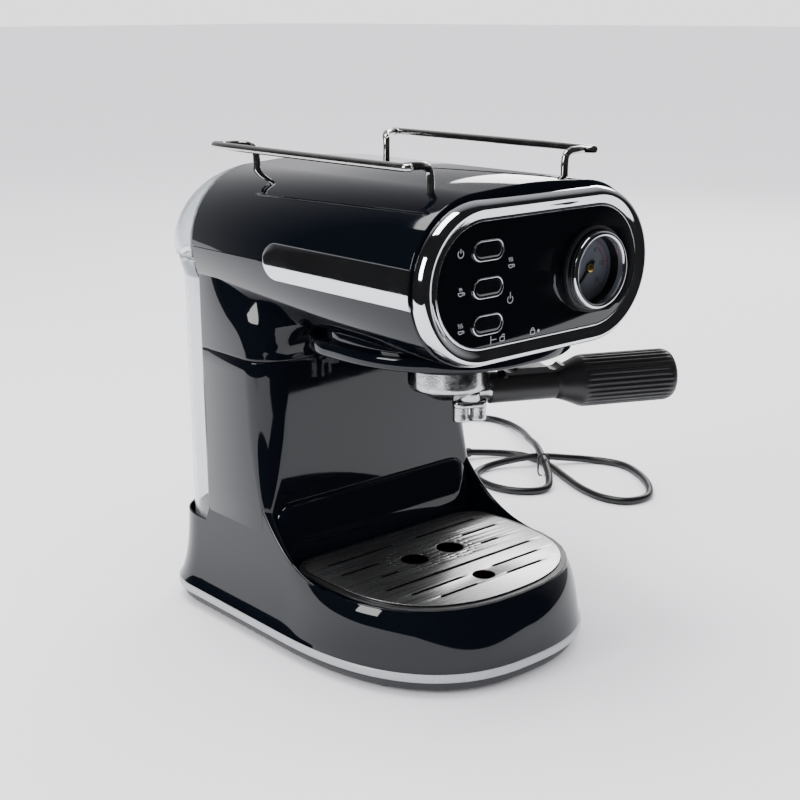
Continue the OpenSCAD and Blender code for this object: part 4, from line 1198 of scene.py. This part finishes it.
    def dial(self) -> None:
        """Prints the dial: a scale of ticks from lower left to lower right, a red band and its numbers."""
        black, red = Shape(), Shape()
        face = 2.98
        for i in range(0, 61):
            angle = -135 + 270 * i / 60
            long = i % 12 == 0
            ends = np.array([self.dial_point(angle, 18.6), self.dial_point(angle, 15.6 if long else 17.2)])
            (red if 36 <= i <= 52 else black).ribbon(ends, 0.45 if long else 0.22, face, 0.05)
        black.ribbon(self.dial_point(np.linspace(-135, 135, 90), 18.8), 0.25, face, 0.05)
        red.ribbon(self.dial_point(np.linspace(27, 99, 30), 14.6), 0.5, face, 0.05)
        settle(black.build("dial_scale", sharp=80), Body.HOUSING, INK_BLACK, "needle_black")
        settle(red.build("dial_red_band", sharp=80), Body.HOUSING, INK_RED, "float_red")
        for i in range(6):
            self.numeral(str(3 * i), -135 + 270 * i / 5, face)
        turn = axis_frame((0, -1, 0), (self.gauge[0], 0, self.gauge[1]))
        hub = catmull(np.array([[2.9, -2.2], [2.9, -0.9], [2.4, -0.3], [1.2, 0.0], [0.2, 0.05]]), 3)
        settle(Shape().lathe(hub, turn, 36).build("needle_hub"), Body.NEEDLE, BRASS, "brass_parts")

    def numeral(self, words: str, angle: float, face: float) -> None:
        """Prints one plain number on the dial.

        Args:
            words: the digits.
            angle: its place, clockwise from straight up, in degrees.
            face: the depth of the dial's face.
        """
        curve = bpy.data.curves.new("dial_number_" + words, "FONT")
        curve.body = words
        curve.size = 4.0
        curve.align_x = "CENTER"
        curve.align_y = "CENTER"
        curve.extrude = 0.03
        mesh, (x, z, up) = meshed(curve)
        spot = self.dial_point(angle, 12.2)
        stood = np.stack([x + spot[0], face - curve.extrude - up, z + spot[1]], 1)
        mesh.vertices.foreach_set("co", placed(stood).ravel())
        settle(finished("dial_number_" + words, mesh, 40), Body.HOUSING, INK_BLACK, "needle_black")

    def make(self) -> None:
        """Makes every piece of the fascia."""
        self.surround()
        self.panel()
        self.buttons()
        self.marks()
        self.gauge_ring()
        self.dial()


# ---- drip tray ----


@dataclass
class DripGrille:
    """The slotted steel grille over the tray."""

    top: float = 59.9
    spout_x: float = 17.1
    spout_y: float = 101.2
    float_y: float = 48.3
    slots: tuple[tuple[float, float, float], ...] = (
        (132.1, 10, 71.8), (112, 39.6, 75.1), (91.6, 39.3, 57), (55.2, 14.9, 61), (39.9, 14.1, 48.3))

    def dots(self) -> list[tuple[float, float]]:
        """Places the small holes in two rings round each spout hole, where they clear one another."""
        kept: list[tuple[float, float]] = []
        holes = [(side * self.spout_x, self.spout_y) for side in (-1, 1)]
        for ring, count in ((14.4, 16), (19.0, 22)):
            for x, y in holes:
                for i in range(count):
                    a = TAU * i / count
                    spot = (x + ring * math.cos(a), y + ring * math.sin(a))
                    clear = min(math.dist(spot, hole) for hole in holes) > 13
                    if clear and all(math.dist(spot, other) > 3.4 for other in kept):
                        kept.append(spot)
        return kept

    def make(self) -> None:
        """Cuts the slots and holes in the sheet and puts its turned-down edge under it."""
        outlines = [grille_outline(-0.3), stadium(139.2, 3, 24) + [0, 71.7]]
        for y, x0, x1 in self.slots:
            outlines += [stadium(x1 - x0, 3, 24) + [s * (x0 + x1) / 2, y] for s in (-1, 1)]
        outlines += [stadium(20, 19.99, 48) + [s * self.spout_x, self.spout_y] for s in (-1, 1)]
        outlines.append(stadium(16.2, 16.19, 48) + [0, self.float_y])
        outlines += [stadium(2.1, 2.09, 12) + spot for spot in self.dots()]
        plate = sheet_of("grille_sheet", outlines, self.top - 0.8, self.top, 0.07)
        settle(plate, Body.GRILLE, GRILLE_STEEL, "brushed_grille", "drip_grille")
        steps = [(-6, 56.5), (-6, 59.2), (-7.4, 59.2), (-7.4, 56.5)]
        edge = Shape().grid(np.stack([level(grille_outline(g), z) for g, z in steps]), loop=True)
        settle(edge.build("grille_skirt"), Body.GRILLE, GRILLE_STEEL, "brushed_grille")


# ---- portafilter ----


@dataclass
class Portafilter:
    """The portafilter: bowl, spouts, and the ribbed grip on its handle."""

    axis: tuple[float, float] = (0.0, 86.0)
    turn: float = 25.0
    height: float = 183.6
    spout: float = 16.0

    def along(self) -> np.ndarray:
        """Gives the handle's direction."""
        a = math.radians(self.turn)
        return np.array([math.cos(a), -math.sin(a), 0.0])

    def at(self, distance: float, z: float = 0.0) -> tuple[float, float, float]:
        """Gives the point at a distance along the handle and a height."""
        return tuple(np.array([*self.axis, z]) + self.along() * distance)

    def bowl(self) -> None:
        """Turns the bowl, with its boss, its two lugs and the arm to the handle."""
        outside = catmull(np.array([[28.7, 212.7], [28.8, 209], [28.8, 206.4], [28.2, 205.7], [27.4, 205.2],
                                    [27.3, 202], [27.3, 193], [27.2, 189.6], [26.4, 187.6], [24.6, 186.7],
                                    [21, 185], [15, 181.6], [11, 179.6], [7, 179.2], [3, 179.2]]), 3)
        inside = np.array([[3, 189.6], [25.4, 189.6], [25.4, 212.7]])
        upward = axis_frame((0, 0, 1), (*self.axis, 0))
        shape = Shape().lathe(np.vstack([outside, inside]), upward, 128, loop=True)
        arm = np.array([[7.4, 16], [7.4, 26.4], [8.6, 28], [9.2, 29.6], [4, 29.6], [4, 60]])
        shape.lathe(arm, axis_frame(tuple(self.along()), self.at(0, self.height)), 48)
        boss = catmull(np.array([[2.9, 184], [8.6, 184], [8.6, 180], [8.2, 177.4], [7.6, 176.1],
                                 [2.9, 176.1]]), 2)
        shape.lathe(boss, axis_frame((0, 0, 1), self.at(self.spout)), 48, loop=True)
        for a in (40, 220):
            b = math.radians(a - self.turn) + np.linspace(-0.26, 0.26, 12)
            rows = [np.column_stack([r * np.cos(b) + self.axis[0], r * np.sin(b) + self.axis[1],
                                     np.full(12, z)])
                    for r, z in ((27.5, 208.8), (31.8, 208.8), (31.8, 212.4), (27.5, 212.4))]
            shape.grid(np.stack(rows, 1))
        settle(shape.build("portafilter_bowl", sharp=50), Body.PORTAFILTER, CAST_CHROME, "die_cast_chrome",
               "portafilter_body")

    def spouts(self) -> None:
        """Turns the two spouts under their rounded block."""
        a = -math.radians(self.turn)
        turned = np.array([[math.cos(a), math.sin(a)], [-math.sin(a), math.cos(a)]])
        steps = catmull(np.array([[-2.0, 171], [-0.6, 171.3], [0, 172.4], [0, 174.8], [-0.5, 175.7],
                                  [-2, 176]]), 3)
        centre = np.array(self.at(self.spout))[:2]
        rows = [level(stadium(24.4 + 2 * g, 12 + 2 * g, 64) @ turned + centre, z) for g, z in steps]
        shape = Shape().grid(np.stack(rows))
        for s in (-1, 1):
            tip = catmull(np.array([[4, 161.6], [5.0, 161.6], [5.6, 162.2], [5.6, 166], [5.7, 171.5]]), 3)
            tube = np.vstack([tip, [[4, 171.5]]])
            shape.lathe(tube, axis_frame((0, 0, 1), self.at(self.spout + s * 6.3)), 40, loop=True)
        settle(shape.build("spouts_cast", sharp=50), Body.PORTAFILTER, CAST_CHROME, "die_cast_chrome",
               "spout_block")

    def grip(self) -> None:
        """Makes the ribbed grip: its radius dips in a cosine round it, and rounds off at both ends."""
        a = np.linspace(0, TAU, 360, endpoint=False)
        s, r = np.array([[78, 10.6], [78.2, 11.2], [82, 12.2], [86, 13.6], [90, 15.2], [94, 17],
                         [96.4, 17.9], [98, 18.3], [100, 18.5], [104, 18.5], [112, 18.5], [125, 18.5],
                         [140, 18.5], [152, 18.5], [158, 18.5], [160.6, 18.4], [162.4, 18.1], [164.2, 17.4],
                         [165.8, 16.2], [166.7, 14.8], [167, 13.2]]).T
        depth = np.interp(s, [97, 101, 158, 163], [0, 1, 1, 0])
        rib = 0.95 * (0.5 - 0.5 * np.cos(30 * a)) ** 1.6
        radius = r[:, None] - depth[:, None] * rib[None]
        shape = Shape().ribbed(radius, s, axis_frame(tuple(self.along()), self.at(0, self.height)))
        settle(shape.build("handle_grip_ribbed", sharp=60), Body.PORTAFILTER, SATIN_BLACK, "satin_black",
               "handle_grip")

    def make(self) -> None:
        """Makes every piece of the portafilter."""
        self.bowl()
        self.spouts()
        self.grip()


# ---- tank and steam side ----


@dataclass
class TankLid:
    """The lid over the tank, which carries on the head's shape and rounds off at the back."""

    front: float = 240.6
    back: float = 291.8
    low: float = 268.0
    round_y: float = 231.0
    round_r: float = 66.0
    corner_r: float = 42.0
    half: float = 103.0
    hinge_y: float = 294.4

    def make(self) -> None:
        """Carries the head's upper section back to the rear wall, and sets in the finger dip.

        Each row is the section at one depth: drawn in at the sides by the rear corner's round, and lowered by
        the rear round of the top.
        """
        head = Head()
        section = head.section(True)
        flank = np.linspace(self.low, head.centre, 7)[:-1]
        down = np.sqrt(head.radius ** 2 - (head.centre - flank) ** 2) + head.half - head.radius
        right = np.stack([down, flank], 1)
        outline = np.vstack([right, section, right[::-1] * [-1, 1]])
        away = outline - [0, 290.0]
        away /= np.linalg.norm(away, axis=1, keepdims=True)
        corner_y = self.back - self.corner_r
        depths = np.concatenate([np.linspace(self.front + 1.2, corner_y, 7)[:-1],
                                 corner_y + self.corner_r * np.sin(np.linspace(0, math.pi / 2, 25))])
        full = math.sqrt(self.round_r ** 2 - (self.front - self.round_y) ** 2)
        rows = []
        for y, edge in [(self.front, 1.1), (self.front + 0.3, 0.35)] + [(y, 0.0) for y in depths]:
            bend = math.sqrt(max(self.corner_r ** 2 - max(y - corner_y, 0) ** 2, 0))
            wide = (self.half - self.corner_r + bend) / self.half
            tall = math.sqrt(self.round_r ** 2 - (y - self.round_y) ** 2) / full
            x, z = ((outline - away * edge - [0, self.low]) * [wide, tall] + [0, self.low]).T
            dip = 5.0 * math.exp(-((y - 251.5) / 7.5) ** 4) * np.exp(-(x / 15) ** 4) * (z > 315)
            rows.append(np.column_stack([x, np.full(len(x), y), z - dip]))
        around, last = len(outline), len(rows) - 1
        k, across = np.arange(around - 1), np.arange(around // 2 - 1)
        faces = [i * around + np.stack([k, k + 1, around + k + 1, around + k], 1) for i in range(last)]
        faces += [i * around + np.stack([across, across + 1, around - 2 - across, around - 1 - across], 1)
                  for i in (0, last)]
        shape = Shape()
        shape.take(np.vstack(rows), np.vstack(faces))
        lid = shape.build("tank_lid_skin", sharp=50)
        wall = lid.modifiers.new("wall", "SOLIDIFY")
        wall.thickness = 2.2 * MM
        wall.offset = -1
        settle(lid, Body.LID, TANK_CLEAR, "tank_clear", "tank_lid")
        barrels = Shape()
        pin = axis_frame((1, 0, 0), (0, self.hinge_y, self.low))
        for x in (-52, -27, 22, 47):
            barrels.lathe(np.array([[2.2, x], [3.2, x + 0.2], [3.2, x + 4.8], [2.2, x + 5]]), pin, 32)
        barrels.lathe(np.array([[2, -52], [2, 52]]), pin, 24)
        settle(barrels.build("lid_hinge_barrels"), Body.LID, TANK_CLEAR, "tank_clear")
        self.shoulder()

    def shoulder(self) -> None:
        """Makes the tank's shoulder, which swells under the lid to meet the head's flank."""
        grow = np.array([0.05, 0.9, 2.0, 3.1, 3.9, 3.8, 3.2, 0.1])
        z = np.array([252.5, 254.5, 257.5, 261, 264, 264.8, 265, 265])
        turn = np.linspace(0, math.pi, 49)[:, None]
        facing = np.vstack([[[1, 0]], np.hstack([np.cos(turn), 0.3 * np.sin(turn)]), [[-1, 0]]])
        half, front, corner_y = 97, 241.4, 248
        middle = np.where(turn < math.pi / 2, half - self.corner_r, self.corner_r - half)
        foot = np.hstack([middle + self.corner_r * np.cos(turn), corner_y + self.corner_r * np.sin(turn)])
        foot = np.vstack([[[half, front]], foot, [[-half, front]]])
        plan = foot[:, None] + facing[:, None] * grow[None, :, None]
        rows = np.concatenate([plan, np.broadcast_to(z[None, :, None], (len(foot), len(z), 1))], 2)
        settle(Shape().grid(rows).build("tank_shoulder", sharp=60), Body.TANK, TANK_CLEAR, "tank_clear")


@dataclass
class SteamSide:
    """The steam knob, the wand and its heat sleeve on the right flank."""

    y: float = 178.0
    z: float = 277.0
    wand: tuple[float, float, float] = (108.5, 196.0, 235.0)

    def knob(self) -> None:
        """Makes the fluted knob: a radius that dips in a cosine round it, behind a thin skirt."""
        a = np.linspace(0, TAU, 288, endpoint=False)
        s = np.array([104.6, 104.7, 107.2, 107.6, 108, 110, 120, 122.4, 123.8, 124.5, 124.6])
        r = np.array([14.0, 15.0, 15.0, 14.6, 16.4, 17, 17, 16.6, 15.6, 14, 12.5])
        depth = np.interp(s, [108, 110, 121, 123.6], [0, 1, 1, 0])
        radius = r[:, None] - depth[:, None] * (0.5 - 0.5 * np.cos(18 * a))[None] ** 2
        turn = axis_frame((1, 0, 0), (0, self.y, self.z))
        shape = Shape().ribbed(radius, s, turn).lathe(np.array([[3, 72], [3, 105]]), turn, 24)
        settle(shape.build("steam_knob_fluted", sharp=60), Body.KNOB, SATIN_BLACK, "satin_black",
               "steam_knob")

    def pipe(self) -> None:
        """Bends the wand down out of its stub and slips the sleeve over it."""
        x, y, z = self.wand
        a = np.linspace(0, math.pi / 2, 16)[:, None]
        bend = np.array([x - 8, y, z - 8]) + 8 * np.hstack([np.sin(a), 0 * a, np.cos(a)])
        path = np.vstack([[[72, y, z], [x - 12, y, z]], bend, [[x, y, z - 12], [x, y, 170], [x, y, 118]]])
        settle(Shape().tube(path, 4.0, 32).build("steam_wand_tube"), Body.WAND, ROD, "stainless_rod",
               "steam_wand")
        sleeve = np.array([[1, 112], [4.0, 112], [4.8, 112.6], [6.3, 126], [6.6, 128.5], [6.6, 180.6],
                           [6.1, 181.6], [4.1, 182], [4.1, 118], [1, 118]])
        shape = Shape().lathe(sleeve, axis_frame((0, 0, 1), (x, y, 0)), 48, loop=True)
        settle(shape.build("wand_sleeve_moulded"), Body.WAND, SATIN_BLACK, "satin_black", "wand_sleeve")

    def make(self) -> None:
        """Makes the knob, the wand and the sleeve."""
        self.knob()
        self.pipe()


def dress_frame() -> None:
    """Gives every CAD node that stays in view its finish."""
    for name, finish in NODE_FINISHES.items():
        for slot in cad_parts[name].material_slots:
            slot.material = finish.build()
        LOG.info("%s is in %s", name, finish.name)


def main() -> None:
    """Makes the camera and the lead, then the machine from its base up."""
    logging.basicConfig(level=logging.INFO, format="%(message)s")
    studio = Studio()
    studio.camera()
    MainsLead().make()
    studio.room()
    for part in (LowerBody(), Head(), CupRails(), Fascia(), DripGrille(), Portafilter(), TankLid(),
                 SteamSide()):
        part.make()
    dress_frame()
    bpy.context.view_layer.update()


if __name__ == "__main__":
    main()
